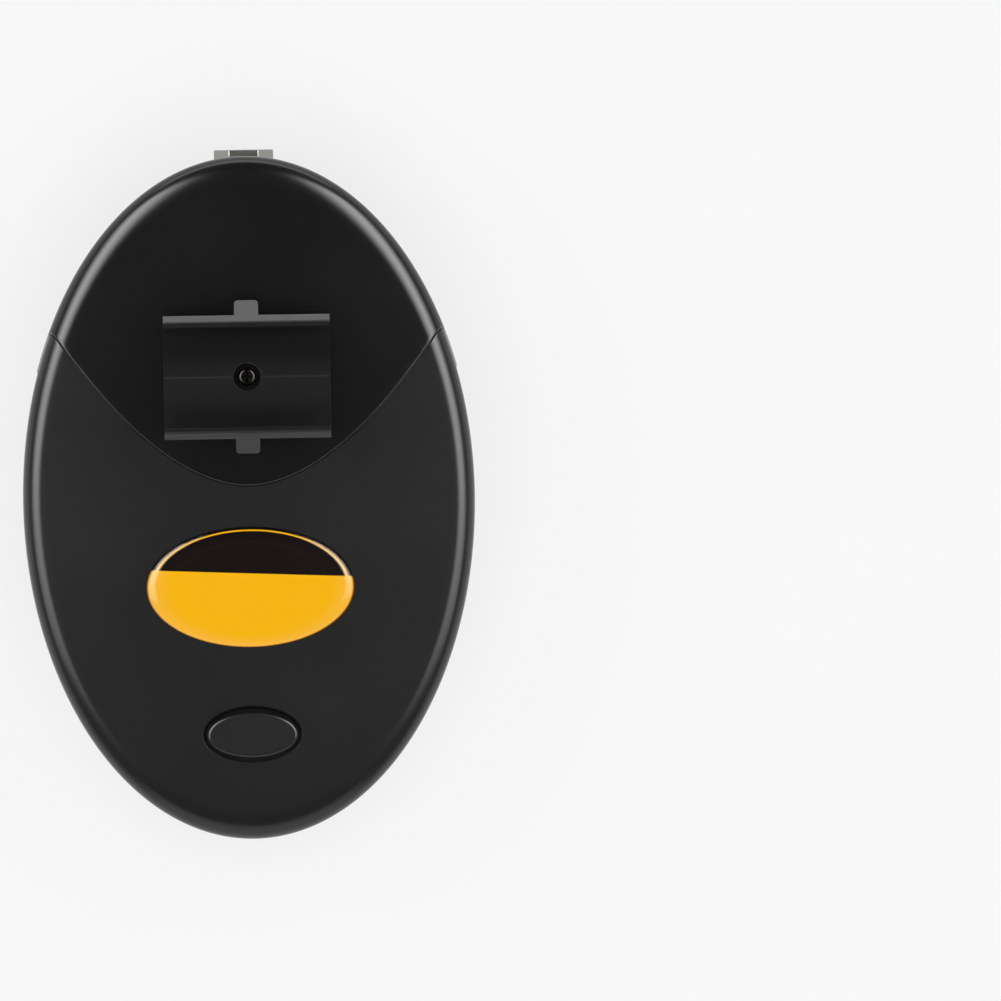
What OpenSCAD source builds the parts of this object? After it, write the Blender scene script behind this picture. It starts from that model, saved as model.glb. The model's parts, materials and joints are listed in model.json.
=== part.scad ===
// Nail polish shaker: an oval desk machine that swings a bottle of lacquer in a
// small circle. Millimetres, +Z up, +Y towards the power inlet, table at z = 0.

/* [Body] */
// Width of the oval body, side to side
body_w = 122; // [118:1:150]
// Length of the oval body, front to rear
body_l = 184; // [180:1:224]
// Height of the top surface above the table at mid-length
body_h = 54; // [53:1:70]
// Rise of the top surface towards the rear, per length
top_slope = 0.1; // [0.04:0.01:0.14]
// Height of the crown of the top surface over its edge
crown_h = 3; // [1:0.5:5]
// Radius of the rounded rim of the upper shells
rim_r = 5.5; // [4:0.5:9]
// Wall thickness of every shell
wall = 2.2; // [1.8:0.1:2.8]
// Height of the parting line between base and upper shells
parting_z = 15; // [14:1:18]
// How far the base plate's edge lies inside the parting line
base_flare = 2.7; // [1:0.1:5]
// How far the rear cover stands proud of the front housing
cover_step = 0.3; // [0:0.1:0.6]

/* [Seam] */
// Place of the seam's foremost point on the top, from the body's middle
seam_y = 3.1; // [0:0.1:5]
// How far the seam's bow sweeps back from its foremost point to its ends
seam_rise = 40.9; // [30:0.1:44]
// Exponent of the bow: 2 is a parabola, less is more pointed
seam_power = 1.86; // [1.5:0.02:2.2]
// Distance of the bow's ends from the body's sides
seam_end_in = 8; // [6:0.5:12]
// Lean of the seam on the side walls, in degrees
seam_lean = 16; // [0:1:20]
// Gap along the seam
seam_gap = 0.1; // [0.05:0.05:0.3]

/* [Cradle] */
// Length of the cradle across the machine
cradle_l = 45; // [36:1:60]
// Width of the cradle over its flanges
cradle_w = 33.4; // [32.4:0.2:44]
// Width of the trough's pocket between the flanges' grooves
trough_w = 29.3; // [22:0.1:29.5]
// Radius of the trough
trough_r = 16; // [15.5:0.5:24]
// Thickness of the trough's liner
liner_t = 1; // [0.6:0.1:2]
// Width of the two strap tabs
tab_w = 6.5; // [4:0.5:12]
// Reach of the strap tabs past the flanges
tab_reach = 4; // [2:0.5:8]
// Thickness of the cradle's floor under the trough
cradle_floor = 3.8; // [3:0.1:6]

/* [Drive] */
// Distance of the motor shaft from the body's rear end
drive_in = 62.3; // [58:0.1:66]
// Throw of the crank, the radius of the cradle's orbit
throw = 3; // [2:0.1:4]
// Diameter of the motor's can
motor_d = 24.2; // [20:0.1:30]
// Length of the motor from its end cap to its front face
motor_l = 27; // [22:0.5:27]
// Diameter of the motor's shaft
shaft_d = 2; // [1.5:0.1:3]
// Outer diameter of the carrier's ball bearing
bearing_d = 11; // [9:0.5:11]
// Bore of the ball bearing
bearing_bore = 4; // [3:0.5:5]
// Width of the ball bearing
bearing_w = 4; // [2.5:0.5:4]
// Radius of the circle of guide pins
guide_r = 14; // [13.8:0.1:18]

/* [Battery] */
// Diameter of a battery cell
cell_d = 14.5; // [10.5:0.1:17.5]
// Length of a battery cell over its button
cell_l = 50.5; // [44.5:0.1:51]
// Number of cells side by side
cell_count = 4; // [2:2:4]
// Thickness of the battery door
door_t = 2; // [1.5:0.1:2.5]
// Width of the door's tongue
tongue_w = 20.5; // [14:0.5:28]
// Length of the door's tongue
tongue_l = 23.6; // [18:0.1:26]

/* [Button] */
// Length of the oval push button
button_l = 24.5; // [20:0.5:34]
// Width of the oval push button
button_w = 12.1; // [10:0.1:18]
// Height of the button over the surface around it
button_proud = 2; // [1:0.1:4]
// Travel of the button
button_travel = 1.8; // [1:0.1:2.2]
// Distance of the button's centre from the body's front end
button_in = 28; // [24:1:32]

/* [Badge] */
// Length of the oval badge
badge_l = 56; // [40:1:70]
// Width of the oval badge
badge_w = 32.5; // [20:0.5:36]
// Place of the badge's centre, from the body's middle
badge_y = -24; // [-28:1:-20]
// Height of the badge's clear dome
badge_dome_h = 1.4; // [0.8:0.1:2]

/* [Feet] */
// Height of the base plate over the table
foot_h = 4; // [3:0.5:6]
// Diameter of a suction cup's rim
cup_d = 12.8; // [10:0.1:15]
// Distance of the cups from the body's sides
cup_in = 27; // [25:1:30]
// Distance of the rear cups from the body's rear end
cup_rear_in = 36; // [32:1:38]

/* [Inlet] */
// Height of the power inlet over the table
inlet_z = 26; // [25:1:32]
// Diameter of the inlet's threaded collar
inlet_d = 10.8; // [8:0.1:12]
// Width of the inlet's nut across its flats
inlet_nut = 14; // [13:0.5:16]
// How far the inlet's nut stands out of the body
inlet_proud = 2; // [1:0.1:3]

/* [Hidden] */
$fn = 48;

// clearances and small sizes shared by several pieces
fit_gap = 0.05;      // between a pin or screw and its hole
slide_gap = 0.3;     // between pieces that pass each other
screw_d = 2.9;       // shank of the body, frame and door screws
screw_head_d = 5.3;
screw_head_h = 1.8;
small_screw_d = 1.9; // shank of the board and motor screws
small_head_d = 3.6;
small_head_h = 1.3;
boss_d = 9;
far = 300;

half_w = body_w / 2;
half_l = body_l / 2;
dome_r = (pow(half_w, 2) + pow(crown_h, 2)) / (2 * crown_h);

// colours
black = [0.11, 0.11, 0.12];
grey = [0.17, 0.17, 0.18];
amber = [0.98, 0.72, 0.08];
steel = [0.72, 0.72, 0.74];
copper = [0.75, 0.45, 0.2];

// ---- the body's form ----

// length of the oval over its width, at a given distance inside the surface
function oval_k(inset) = (half_l - inset) / (half_w - inset);

// height of the top surface at a place, at a given distance inside the surface
function top_z(x, y, inset = 0) =
  let (n = norm([x, y / oval_k(inset)]), r = dome_r - inset)
  body_h - inset - r + sqrt(r * r - n * n) + top_slope * y;

module half_section(inset, low) {
  a = half_w - inset;
  r = rim_r - inset;
  dome = dome_r - inset;
  dome_z = body_h - inset - dome;
  rim_z = dome_z + sqrt(pow(dome - r, 2) - pow(a - r, 2));
  difference() {
    union() {
      translate([0, low]) square([a - r, rim_z - low]);
      translate([a - r, low]) square([r, rim_z - low]);
      translate([a - r, rim_z]) circle(r = r, $fn = 96);
      intersection() {
        translate([0, dome_z]) circle(r = dome, $fn = 360);
        translate([0, rim_z]) square([(a - r) * dome / (dome - r), dome]);
      }
    }
    translate([-a, low - 1]) square([a, far]);
  }
}

// solid oval block under the sloping top surface
module form(inset, low) {
  k = oval_k(inset);
  multmatrix([[1, 0, 0, 0], [0, k, 0, 0], [0, top_slope * k, 1, 0], [0, 0, 0, 1]])
    rotate_extrude($fn = 120) half_section(inset, low);
}

module oval_turn(inset = 0) {
  scale([1, oval_k(inset), 1]) rotate_extrude($fn = 120) children();
}

module above_parting() {
  translate([-far / 2, -far / 2, parting_z]) cube([far, far, far]);
}

// both upper shells in one piece
module upper_shell(proud) {
  intersection() {
    difference() { form(-proud, -far / 15); form(wall, -far / 10); }
    above_parting();
  }
}

// an upright prism with an oval outline
module oval_prism(l, w, h) {
  linear_extrude(h) scale([1, w / l]) circle(d = l, $fn = 96);
}

// ---- the seam between front housing and rear cover ----

seam_steps = 16;
seam_end_x = half_w - seam_end_in;
seam_line = concat(
  [[-half_w * 1.5, seam_rise]],
  [for (i = [-seam_steps:seam_steps])
    [seam_end_x * i / seam_steps, seam_rise * pow(abs(i) / seam_steps, seam_power)]],
  [[half_w * 1.5, seam_rise]]
);

// everything in front of the seam (side -1) or behind it (side 1)
module seam_side(side) {
  translate([0, seam_y + side * seam_gap / 2, body_h]) rotate([-seam_lean, 0, 0])
    translate([0, 0, -far / 2]) linear_extrude(far)
      polygon(concat(seam_line, [[half_w * 1.5, side * far], [-half_w * 1.5, side * far]]));
}

// ---- fasteners ----

module pan_head(d, h, recess) {
  difference() {
    union() {
      cylinder(d = d, h = h * 0.55);
      translate([0, 0, h * 0.55]) cylinder(d1 = d, d2 = d * 0.62, h = h * 0.45);
    }
    for (a = [0, 90]) rotate(a)
      translate([-recess / 2, -recess / 8, h * 0.4]) cube([recess, recess / 4, h]);
  }
}

// a pan head screw with its shank down and its seat at z = 0
module pan_screw(d, head_d, head_h, l) {
  pan_head(head_d, head_h, head_d * 0.6);
  translate([0, 0, -l]) cylinder(d = d, h = l + head_h * 0.2);
}

// ---- places along the machine ----

drive_y = half_l - drive_in;
cradle_y = drive_y + throw;
motor_gap = 1.2;     // clear space round the motor's can
bay_wall = 1.6;
bay_rear_y = drive_y - motor_d / 2 - motor_gap - bay_wall;
contact_t = 0.4;
spring_l = 7;
cell_play = 0.6;     // between the cells, and at their ends
bay_side_gap = 0.4;  // between the outer cells and the bay's walls
cell_pitch = cell_d + cell_play;
bay_w = cell_pitch * cell_count + 2 * bay_side_gap;
bay_l = cell_l + spring_l + 2 * contact_t + cell_play;
bay_y = bay_rear_y - bay_l;
door_lap = 1.4;      // of the door over the bay's side walls
door_end_lap = 2.6;  // and over its end walls
door_w = bay_w + 2 * door_lap;
door_l = bay_l + 2 * door_end_lap;
door_y = bay_y - door_end_lap;
door_rear_y = door_y + door_l;
tongue_y = door_rear_y + tongue_l;
door_screw_y = door_rear_y + tongue_l * 0.38;
door_gap = 0.25;
cup_x = half_w - cup_in;
cup_front_y = door_y - 10.3;
cup_rear_y = half_l - cup_rear_in;
foot_places = [[-cup_x, cup_rear_y], [cup_x, cup_rear_y], [-cup_x, cup_front_y], [cup_x, cup_front_y]];
button_y = button_in - half_l;

// ---- heights, from the table up ----

floor_z = foot_h + wall;
seat_z = foot_h + door_t + wall;
cell_z = foot_h + door_t + slide_gap + cell_d / 2;
bay_top_z = cell_z + cell_d / 2 + bay_side_gap;

// ---- heights of the drive, hung from the rear cover's underside ----

sleeve_d = 4.6;
pin_d = 3;
guide_play = 0.4;    // of a sleeve in its guide hole
guide_hole_d = sleeve_d + 2 * throw + guide_play;
plate_r = guide_r + guide_hole_d / 2 + 1.5;
plate_t = 2;
plate_gap = 0.8;     // between the carrier's plate and the cover over it
turn_gap = 0.5;      // above and below the eccentric
hub_d = bearing_d + 3;
hub_gap = 0.75;      // round the hub at its widest swing
plate_z = top_z(0, drive_y - throw - plate_r, wall) - plate_gap - plate_t;
eccentric_h = 5;
eccentric_z = plate_z - turn_gap - eccentric_h;
frame_t = 2;
frame_z = eccentric_z - turn_gap - frame_t;
motor_z = frame_z - motor_l;
turret_hole_d = hub_d + 2 * (throw + hub_gap);
turret_d = turret_hole_d + 2 * wall;
turret_z = top_z(0, drive_y + turret_d / 2, -cover_step) + 0.5;
shield_d = turret_hole_d + 2 * throw + 1;
shield_t = 1.2;
shield_gap = 0.4;    // between the shield and the turret's rim
cradle_z = turret_z + shield_gap + shield_t;
trough_z = cradle_z + cradle_floor;
pocket_r = trough_r + liner_t;
lip_z = trough_z + pocket_r - sqrt(pow(pocket_r, 2) - pow(trough_w / 2, 2));
bearing_z = plate_z + 0.5;
bearing_top_z = bearing_z + bearing_w;

// ---- base ----

base_lip_t = 1.2;
base_lip_h = 2;
seat_ring_d = 16.5;
frame_post_x = max(motor_d / 2 + 12.9, 25);
frame_post_y = 15;
frame_screw_l = 11;
frame_posts = [for (x = [-1, 1], y = [-1, 1]) [x * frame_post_x, drive_y + y * frame_post_y]];

module base_shell() {
  difference() {
    oval_turn() polygon([[0, foot_h], [half_w - base_flare - 0.5, foot_h],
      [half_w - base_flare, foot_h + 0.5], [half_w, parting_z], [0, parting_z]]);
    oval_turn(wall) polygon([[0, floor_z], [half_w - base_flare - wall, floor_z],
      [half_w - wall, parting_z + 1], [0, parting_z + 1]]);
  }
  oval_turn(wall + 0.3) difference() {
    translate([half_w - wall - 0.3 - base_lip_t, parting_z - base_lip_h])
      square([base_lip_t, 2 * base_lip_h]);
    translate([half_w, 0]) square(far);
  }
}

hook_w = 8;
hook_x = [-21, 19.5];
hook_l = 2.4;

module battery_bay() {
  translate([-bay_w / 2 - bay_wall, bay_y - bay_wall, foot_h + 0.1])
    cube([bay_w + 2 * bay_wall, bay_l + 2 * bay_wall, bay_top_z + bay_wall - foot_h - 0.1]);
  translate([-door_w / 2 - 2.5, door_y - 4, foot_h + 0.1])
    cube([door_w + 5, door_l + 6.5, seat_z - foot_h - 0.1]);
  translate([-tongue_w / 2 - 2.5, door_rear_y, foot_h + 0.1])
    cube([tongue_w + 5, tongue_l + 2.5, seat_z - foot_h - 0.1]);
  translate([0, door_screw_y, foot_h + 0.1]) cylinder(d = 8, h = motor_z - motor_gap - foot_h);
}

module door_space() {
  rebate = door_t + 0.1;
  translate([-door_w / 2, door_y, foot_h - 1]) cube([door_w, door_l, rebate + 1]);
  translate([-tongue_w / 2 - door_gap, door_rear_y - 1, foot_h - 1])
    cube([tongue_w + 2 * door_gap, tongue_l + 1 + door_gap, rebate + 1]);
  translate([-bay_w / 2, bay_y, foot_h]) cube([bay_w, bay_l, bay_top_z - foot_h]);
  translate([0, door_screw_y, foot_h]) cylinder(d = screw_d + 2 * fit_gap, h = motor_z - 2.2 - foot_h);
  for (x = hook_x)
    translate([x - hook_w / 2 - door_gap, door_y - hook_l - 0.8, foot_h + 0.5])
      cube([hook_w + 2 * door_gap, hook_l + 0.8 + 2.5, 4.2]);
}

slot_size = [6.7, 3.2];
slot_y = [-11.2, -22.3]; // from the door's front edge

module base_housing() {
  color(black) difference() {
    union() {
      base_shell();
      battery_bay();
      for (p = foot_places) translate([p[0], p[1], foot_h + 0.1])
        cylinder(d = boss_d + 1, h = parting_z - foot_h - 0.1);
      for (p = frame_posts) translate([p[0], p[1], foot_h + 0.1])
        cylinder(d = 7, h = frame_z - foot_h - 0.1);
    }
    door_space();
    for (p = foot_places) translate([p[0], p[1], 0]) {
      cylinder(d = seat_ring_d, h = foot_h + 1);
      cylinder(d = screw_d + 2 * fit_gap, h = far);
    }
    for (p = frame_posts) translate([p[0], p[1], frame_z - frame_screw_l - 1])
      cylinder(d = screw_d + 2 * fit_gap, h = far);
    for (y = slot_y)
      translate([-slot_size[0] / 2, door_y + y - slot_size[1] / 2, 0]) cube([slot_size[0], slot_size[1], floor_z + 1]);
  }
}

// ---- upper shells ----

screw_reach = 22; // how far up a body screw reaches

// a screw boss that hangs from the top surface down to the parting line
module hung_boss(x, y) {
  intersection() {
    translate([x, y, parting_z]) cylinder(d = boss_d - 1, h = far);
    form(wall / 2, -far / 10);
  }
}

module boss_bore(x, y) {
  translate([x, y, 0]) cylinder(d = screw_d + 2 * fit_gap, h = screw_reach + 1);
}

board_drop = 24; // of the board under the top surface
board_z = top_z(0, button_y) - board_drop;
board_l = 44;
board_w = 26;
board_t = 1.6;
board_post_x = 18;
button_gap = 0.95; // between the button and its opening
collar_t = 1.5;
collar_l = 5;

module front_housing() {
  opening_l = button_l + 2 * button_gap;
  opening_w = button_w + 2 * button_gap;
  color(grey) difference() {
    union() {
      intersection() { upper_shell(0); seam_side(-1); }
      hung_boss(-cup_x, cup_front_y);
      hung_boss(cup_x, cup_front_y);
      intersection() {
        for (x = [-board_post_x, board_post_x])
          translate([x, button_y, board_z + board_t]) cylinder(d = 6, h = far / 4);
        form(wall / 2, -far / 10);
      }
      intersection() {
        translate([0, button_y, top_z(0, button_y) - wall - collar_l])
          oval_prism(opening_l + 2 * collar_t, opening_w + 2 * collar_t, far / 4);
        form(wall / 2, -far / 10);
      }
    }
    translate([0, button_y, board_z + board_t + 1]) oval_prism(opening_l, opening_w, far / 4);
    boss_bore(-cup_x, cup_front_y);
    boss_bore(cup_x, cup_front_y);
    for (x = [-board_post_x, board_post_x])
      translate([x, button_y, board_z]) cylinder(d = small_screw_d + 2 * fit_gap, h = 8);
  }
}

inlet_face_y = half_l - 0.8;  // flat spot under the nut
inlet_pad_y = half_l - 4.4;   // flat pad behind the wall

module along_y(y, z = inlet_z) {
  translate([0, y, z]) rotate([-90, 0, 0]) children();
}

module rear_cover() {
  color(black) difference() {
    union() {
      intersection() { upper_shell(cover_step); seam_side(1); }
      hung_boss(-cup_x, cup_rear_y);
      hung_boss(cup_x, cup_rear_y);
      along_y(inlet_pad_y) cylinder(d = inlet_nut + 4, h = inlet_face_y - inlet_pad_y - 0.5);
      intersection() {
        translate([0, drive_y, 0]) cylinder(d = turret_d, h = turret_z);
        difference() {
          translate([-far / 2, -far / 2, parting_z]) cube([far, far, far]);
          form(wall, -far / 10);
        }
      }
    }
    translate([0, drive_y, parting_z]) cylinder(d = turret_hole_d, h = far);
    along_y(inlet_face_y) cylinder(d = inlet_nut + 3.4, h = far / 4);
    along_y(0) cylinder(d = inlet_d + 2 * fit_gap, h = far);
    boss_bore(-cup_x, cup_rear_y);
    boss_bore(cup_x, cup_rear_y);
  }
}

// ---- feet and body screws ----

cup_head_z = 2.2;

module suction_cups() {
  r = cup_d / 2;
  top = foot_h + 1;
  color([0.8, 0.86, 0.92, 0.7]) for (p = foot_places) translate([p[0], p[1], 0])
    difference() {
      rotate_extrude() polygon([[0, 0], [r, 0], [r, 0.5], [r - 1.9, 2.7], [r - 1.9, top], [0, top]]);
      translate([0, 0, -0.01]) cylinder(d1 = 2 * r - 1.4, d2 = screw_head_d + 1.4, h = 1.3);
      cylinder(d = screw_head_d + 0.5, h = cup_head_z);
      cylinder(d = screw_d + 2 * fit_gap, h = top + 1);
    }
}

module housing_screws() {
  color(steel) for (p = foot_places) translate([p[0], p[1], cup_head_z]) rotate([180, 0, 0])
    pan_screw(screw_d, screw_head_d, screw_head_h, screw_reach - cup_head_z);
}

// ---- badge ----

badge_plate_t = 0.3;

// a sheet of the top surface under an oval outline
module badge_sheet(l, w, low, high) {
  difference() {
    intersection() {
      translate([0, badge_y, body_h - 20]) oval_prism(l, w, 40);
      form(-high, -far / 15);
    }
    form(-low, -far / 10);
  }
}

module badge_plate() { color(amber) badge_sheet(badge_l, badge_w, 0, badge_plate_t); }

module badge_dome() {
  color([1, 0.95, 0.8, 0.4])
    badge_sheet(badge_l - 0.6, badge_w - 0.6, badge_plate_t, badge_plate_t + badge_dome_h);
}

// ---- push button and switch ----

flange_t = 1.2;
flange_z = top_z(0, button_y - button_w, wall) - slide_gap - flange_t;
switch_w = 8.5;
switch_h = 9;
switch_top_z = board_z + board_t + switch_h;
stem_d = 9;

module push_button() {
  color([0.08, 0.08, 0.09]) {
    intersection() {
      translate([0, button_y, flange_z]) oval_prism(button_l, button_w, far / 4);
      translate([0, button_y, top_z(0, button_y) + button_proud]) rotate([atan(top_slope), 0, 0])
        translate([-far / 2, -far / 2, -far]) cube([far, far, far]);
    }
    translate([0, button_y, flange_z - 1.5]) cylinder(d = stem_d, h = 2);
  }
}

plunger_w = 3.4;

module switch_plunger() {
  color([0.85, 0.85, 0.82]) translate([-plunger_w / 2, button_y - plunger_w / 2, switch_top_z - 3])
    cube([plunger_w, plunger_w, flange_z - 1.5 - switch_top_z + 3]);
}

module switch_body() {
  well = plunger_w + 2 * slide_gap;
  color([0.15, 0.15, 0.16]) difference() {
    translate([-switch_w / 2, button_y - switch_w / 2, board_z + board_t])
      cube([switch_w, switch_w, switch_h]);
    translate([-well / 2, button_y - well / 2, switch_top_z - 3 - button_travel - slide_gap])
      cube([well, well, switch_h]);
  }
}

// ---- wire forms ----

// one unbroken tube through rings of points
module ring_tube(rings) {
  n = len(rings[0]);
  m = len(rings);
  polyhedron(
    points = [for (ring = rings) each ring],
    faces = concat(
      [[for (i = [n - 1:-1:0]) i]],
      [for (j = [0:m - 2], i = [0:n - 1])
        let (a = j * n + i, b = j * n + (i + 1) % n) each [[a, b, b + n], [a, b + n, a + n]]],
      [[for (i = [0:n - 1]) (m - 1) * n + i]]
    )
  );
}

// rings of a coil about Z: its radius runs from r1 to r2 as it climbs
function coil_rings(r1, r2, h, turns, wire, steps, sides) =
  [for (j = [0:turns * steps])
    let (
      t = j / (turns * steps),
      a = 360 * turns * t,
      r = r1 + (r2 - r1) * t,
      pitch = h / (turns * 2 * PI * r),
      out = [cos(a), sin(a), 0],
      along = [-sin(a), cos(a), pitch] / norm([1, pitch]),
      up = cross(along, -out)
    )
    [for (i = [0:sides - 1]) let (b = 360 * i / sides)
      [0, 0, h * t] + out * r - out * wire / 2 * cos(b) + up * wire / 2 * sin(b)]];

coil_steps = 10;
coil_sides = 6;

function unit(v) = v / norm(v);

// direction of a path at one of its points
function heading(path, i) =
  unit(path[min(i + 1, len(path) - 1)] - path[max(i - 1, 0)]);

// side directions along a path, each as near as can be to the one before
function side_way(path, i) =
  let (
    t = heading(path, i),
    last = i == 0 ? (abs(t[2]) < 0.8 ? [0, 0, 1] : [1, 0, 0]) : side_way(path, i - 1)
  )
  unit(last - (last * t) * t);

function path_rings(path, d, sides) =
  [for (i = [0:len(path) - 1])
    let (t = heading(path, i), u = side_way(path, i), v = cross(t, u))
    [for (k = [0:sides - 1]) path[i] + d / 2 * (u * cos(360 * k / sides) + v * sin(360 * k / sides))]];

lead_d = 1.3;
lead_sides = 8;

module lead(path) { ring_tube(path_rings(path, lead_d, lead_sides)); }

// ---- springs, board and its parts ----

spring_wire = 0.6;

module button_spring() {
  low = switch_top_z + spring_wire / 2;
  high = flange_z - 1.5 - spring_wire / 2;
  color(steel) translate([0, button_y, low])
    ring_tube(coil_rings(stem_d / 2 - 1, stem_d / 2 - 1, high - low, 4, spring_wire, coil_steps, coil_sides));
}

module switch_board() {
  color([0.75, 0.62, 0.35]) difference() {
    translate([-board_l / 2, button_y - board_w / 2, board_z]) cube([board_l, board_w, board_t]);
    for (x = [-board_post_x, board_post_x])
      translate([x, button_y, board_z - 1]) cylinder(d = small_screw_d + 0.3, h = 4);
  }
}

module board_screws() {
  color(steel) for (x = [-board_post_x, board_post_x])
    translate([x, button_y, board_z]) rotate([180, 0, 0])
      pan_screw(small_screw_d, small_head_d, small_head_h, 6.5);
}

module board_components() {
  top = board_z + board_t;
  color([0.2, 0.3, 0.5]) translate([10, button_y + 7, top]) cylinder(d = 5, h = 8);
  color([0.7, 0.55, 0.4]) for (x = [-11, -8])
    translate([x, button_y + 5, top + 1]) rotate([90, 0, 0]) cylinder(d = 2, h = 6);
}

// ---- battery door and cells ----

module battery_door() {
  color(black) difference() {
    union() {
      translate([-door_w / 2 + door_gap, door_y + door_gap, foot_h])
        cube([door_w - 2 * door_gap, door_l - 2 * door_gap, door_t]);
      translate([-tongue_w / 2, door_rear_y - 1, foot_h]) cube([tongue_w, tongue_l - 1, door_t]);
      translate([-tongue_w / 2 + 2, door_rear_y, foot_h]) cube([tongue_w - 4, tongue_l, door_t]);
      for (x = [-1, 1]) translate([x * (tongue_w / 2 - 2), tongue_y - 2, foot_h])
        cylinder(r = 2, h = door_t);
      for (x = hook_x) translate([x - hook_w / 2, door_y - hook_l + door_gap, foot_h + 0.8])
        cube([hook_w, hook_l + 2, door_t - 0.8]);
    }
    translate([0, door_screw_y, 0]) cylinder(d = screw_d + 2 * fit_gap, h = far);
    translate([0, door_screw_y, 0]) cylinder(d = screw_head_d + 1, h = foot_h + 0.8);
  }
}

module door_screw() {
  color(steel) translate([0, door_screw_y, foot_h + 0.8]) rotate([180, 0, 0])
    pan_screw(screw_d, screw_head_d, screw_head_h, 7);
}

function cell_x(i) = (i - (cell_count - 1) / 2) * cell_pitch;

// draws its children at each cell's flat end, with +Z pointing out of the cell
module at_flat_ends() {
  for (i = [0:cell_count - 1])
    translate([cell_x(i), i % 2 == 0 ? bay_y + contact_t : bay_rear_y - contact_t, cell_z])
      rotate([i % 2 == 0 ? 90 : -90, 0, 0]) children();
}

cell_nub = 1.2;

module battery_cells() {
  color([0.25, 0.3, 0.35]) at_flat_ends() translate([0, 0, -spring_l - cell_l]) {
    translate([0, 0, cell_nub]) cylinder(d = cell_d, h = cell_l - cell_nub);
    cylinder(d = 5.3, h = cell_nub + 0.1);
  }
}

module battery_springs() {
  wire = 0.8;
  color(steel) at_flat_ends() translate([0, 0, -wire / 2])
    mirror([0, 0, 1]) ring_tube(coil_rings(4.6, 2.6, spring_l - wire, 4, wire, coil_steps, coil_sides));
}

module battery_contacts() {
  size = cell_d - 3;
  color(steel) for (i = [0:cell_count - 1], y = [bay_y, bay_rear_y - contact_t])
    translate([cell_x(i) - size / 2, y, cell_z - size / 2]) cube([size, contact_t, size]);
}

// ---- power inlet ----

socket_d = 6.4;
socket_depth = 9.5;
inlet_flange_t = 1.2;
inlet_tail = 12; // length of the inlet's body inside the cover
inlet_end_y = half_l + inlet_proud - 0.4;

module inlet_body() {
  color([0.12, 0.12, 0.13]) difference() {
    union() {
      along_y(inlet_pad_y - inlet_tail) cylinder(d = inlet_d, h = inlet_end_y - inlet_pad_y + inlet_tail);
      along_y(inlet_pad_y - inlet_flange_t) cylinder(d = inlet_d + 3, h = inlet_flange_t);
    }
    along_y(inlet_end_y - socket_depth) cylinder(d = socket_d, h = far);
  }
}

module inlet_nut_ring() {
  color(steel) along_y(inlet_face_y) difference() {
    cylinder(d = inlet_nut / cos(30), h = half_l + inlet_proud - inlet_face_y, $fn = 6);
    translate([0, 0, -1]) cylinder(d = inlet_d + 2 * fit_gap, h = 20);
  }
}

inlet_pin_d = 2.1;

module inlet_pin() {
  color(steel) along_y(inlet_end_y - socket_depth) cylinder(d = inlet_pin_d, h = socket_depth - 1);
}

// ---- motor ----

can_wall = 0.8;
end_cap_h = 3;
motor_boss_d = 6;
motor_boss_h = frame_t;
motor_screw_x = 8.2;

module at_drive(z = 0) { translate([0, drive_y, z]) children(); }

module motor_can() {
  color(steel) at_drive() difference() {
    union() {
      translate([0, 0, motor_z + end_cap_h]) cylinder(d = motor_d, h = motor_l - end_cap_h);
      translate([0, 0, frame_z - 0.1]) cylinder(d = motor_boss_d, h = motor_boss_h + 0.1);
    }
    translate([0, 0, motor_z]) cylinder(d = motor_d - 2 * can_wall, h = motor_l - 1.2);
    cylinder(d = shaft_d + 2 * fit_gap, h = far);
    for (x = [-1, 1]) translate([x * motor_screw_x, 0, frame_z - 2])
      cylinder(d = small_screw_d + 2 * fit_gap, h = 4);
  }
}

module motor_end_cap() {
  color([0.9, 0.9, 0.88]) at_drive() difference() {
    union() {
      translate([0, 0, motor_z]) cylinder(d = motor_d, h = end_cap_h);
      translate([0, 0, motor_z + end_cap_h])
        cylinder(d = motor_d - 2 * can_wall - 0.2, h = 1);
    }
    translate([0, 0, motor_z + 1]) cylinder(d = shaft_d + 2 * fit_gap, h = 10);
    for (x = [-1, 1]) translate([x * terminal_x - 1.3, -0.35, motor_z - 1]) cube([2.6, 0.7, 10]);
  }
}

terminal_x = motor_d / 2 - 4;

module motor_terminals() {
  color([0.85, 0.7, 0.4]) at_drive() for (x = [-1, 1])
    translate([x * terminal_x - 1.2, -0.25, motor_z - 3]) cube([2.4, 0.5, 3 + end_cap_h]);
}

module motor_magnets() {
  outer = motor_d - 2 * can_wall - 0.1;
  color([0.25, 0.25, 0.27]) at_drive(motor_z + end_cap_h + 4) intersection() {
    difference() {
      cylinder(d = outer, h = 15);
      translate([0, 0, -1]) cylinder(d = outer - 3.4, h = 20);
    }
    translate([-outer / 2, -outer * 0.3, -1]) cube([outer, outer * 0.6, 20]);
  }
}

module motor_capacitor() {
  color([0.75, 0.4, 0.15]) at_drive(motor_z - 2.8) {
    translate([0, 4, 0]) rotate([-90, 0, 0]) cylinder(d = 5, h = 2);
    for (x = [-1, 1]) translate([x * 2, 5, 0]) rotate([0, x * 90, 0])
      cylinder(d = 0.6, h = terminal_x - 1.5);
  }
}

module motor_armature() {
  core_d = motor_d - 2 * can_wall - 0.1 - 3.4 - 0.8;
  color(copper) at_drive(motor_z + end_cap_h + 5) difference() {
    cylinder(d = core_d, h = 13);
    translate([0, 0, -1]) cylinder(d = shaft_d + 2 * fit_gap, h = 20);
    for (a = [0:120:240]) rotate(a + 60) translate([core_d / 2 - 2.5, -0.8, -1]) cube([5, 1.6, 20]);
    for (a = [0:120:240]) rotate(a + 60) translate([core_d / 2 - 3.6, 0, -1]) cylinder(d = 3.6, h = 20);
  }
}

module motor_shaft() {
  color(steel) at_drive(motor_z + 1.2)
    cylinder(d = shaft_d, h = eccentric_z + eccentric_h - 0.2 - motor_z - 1.2);
}

// ---- frame over the motor, with the guide pins ----

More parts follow.
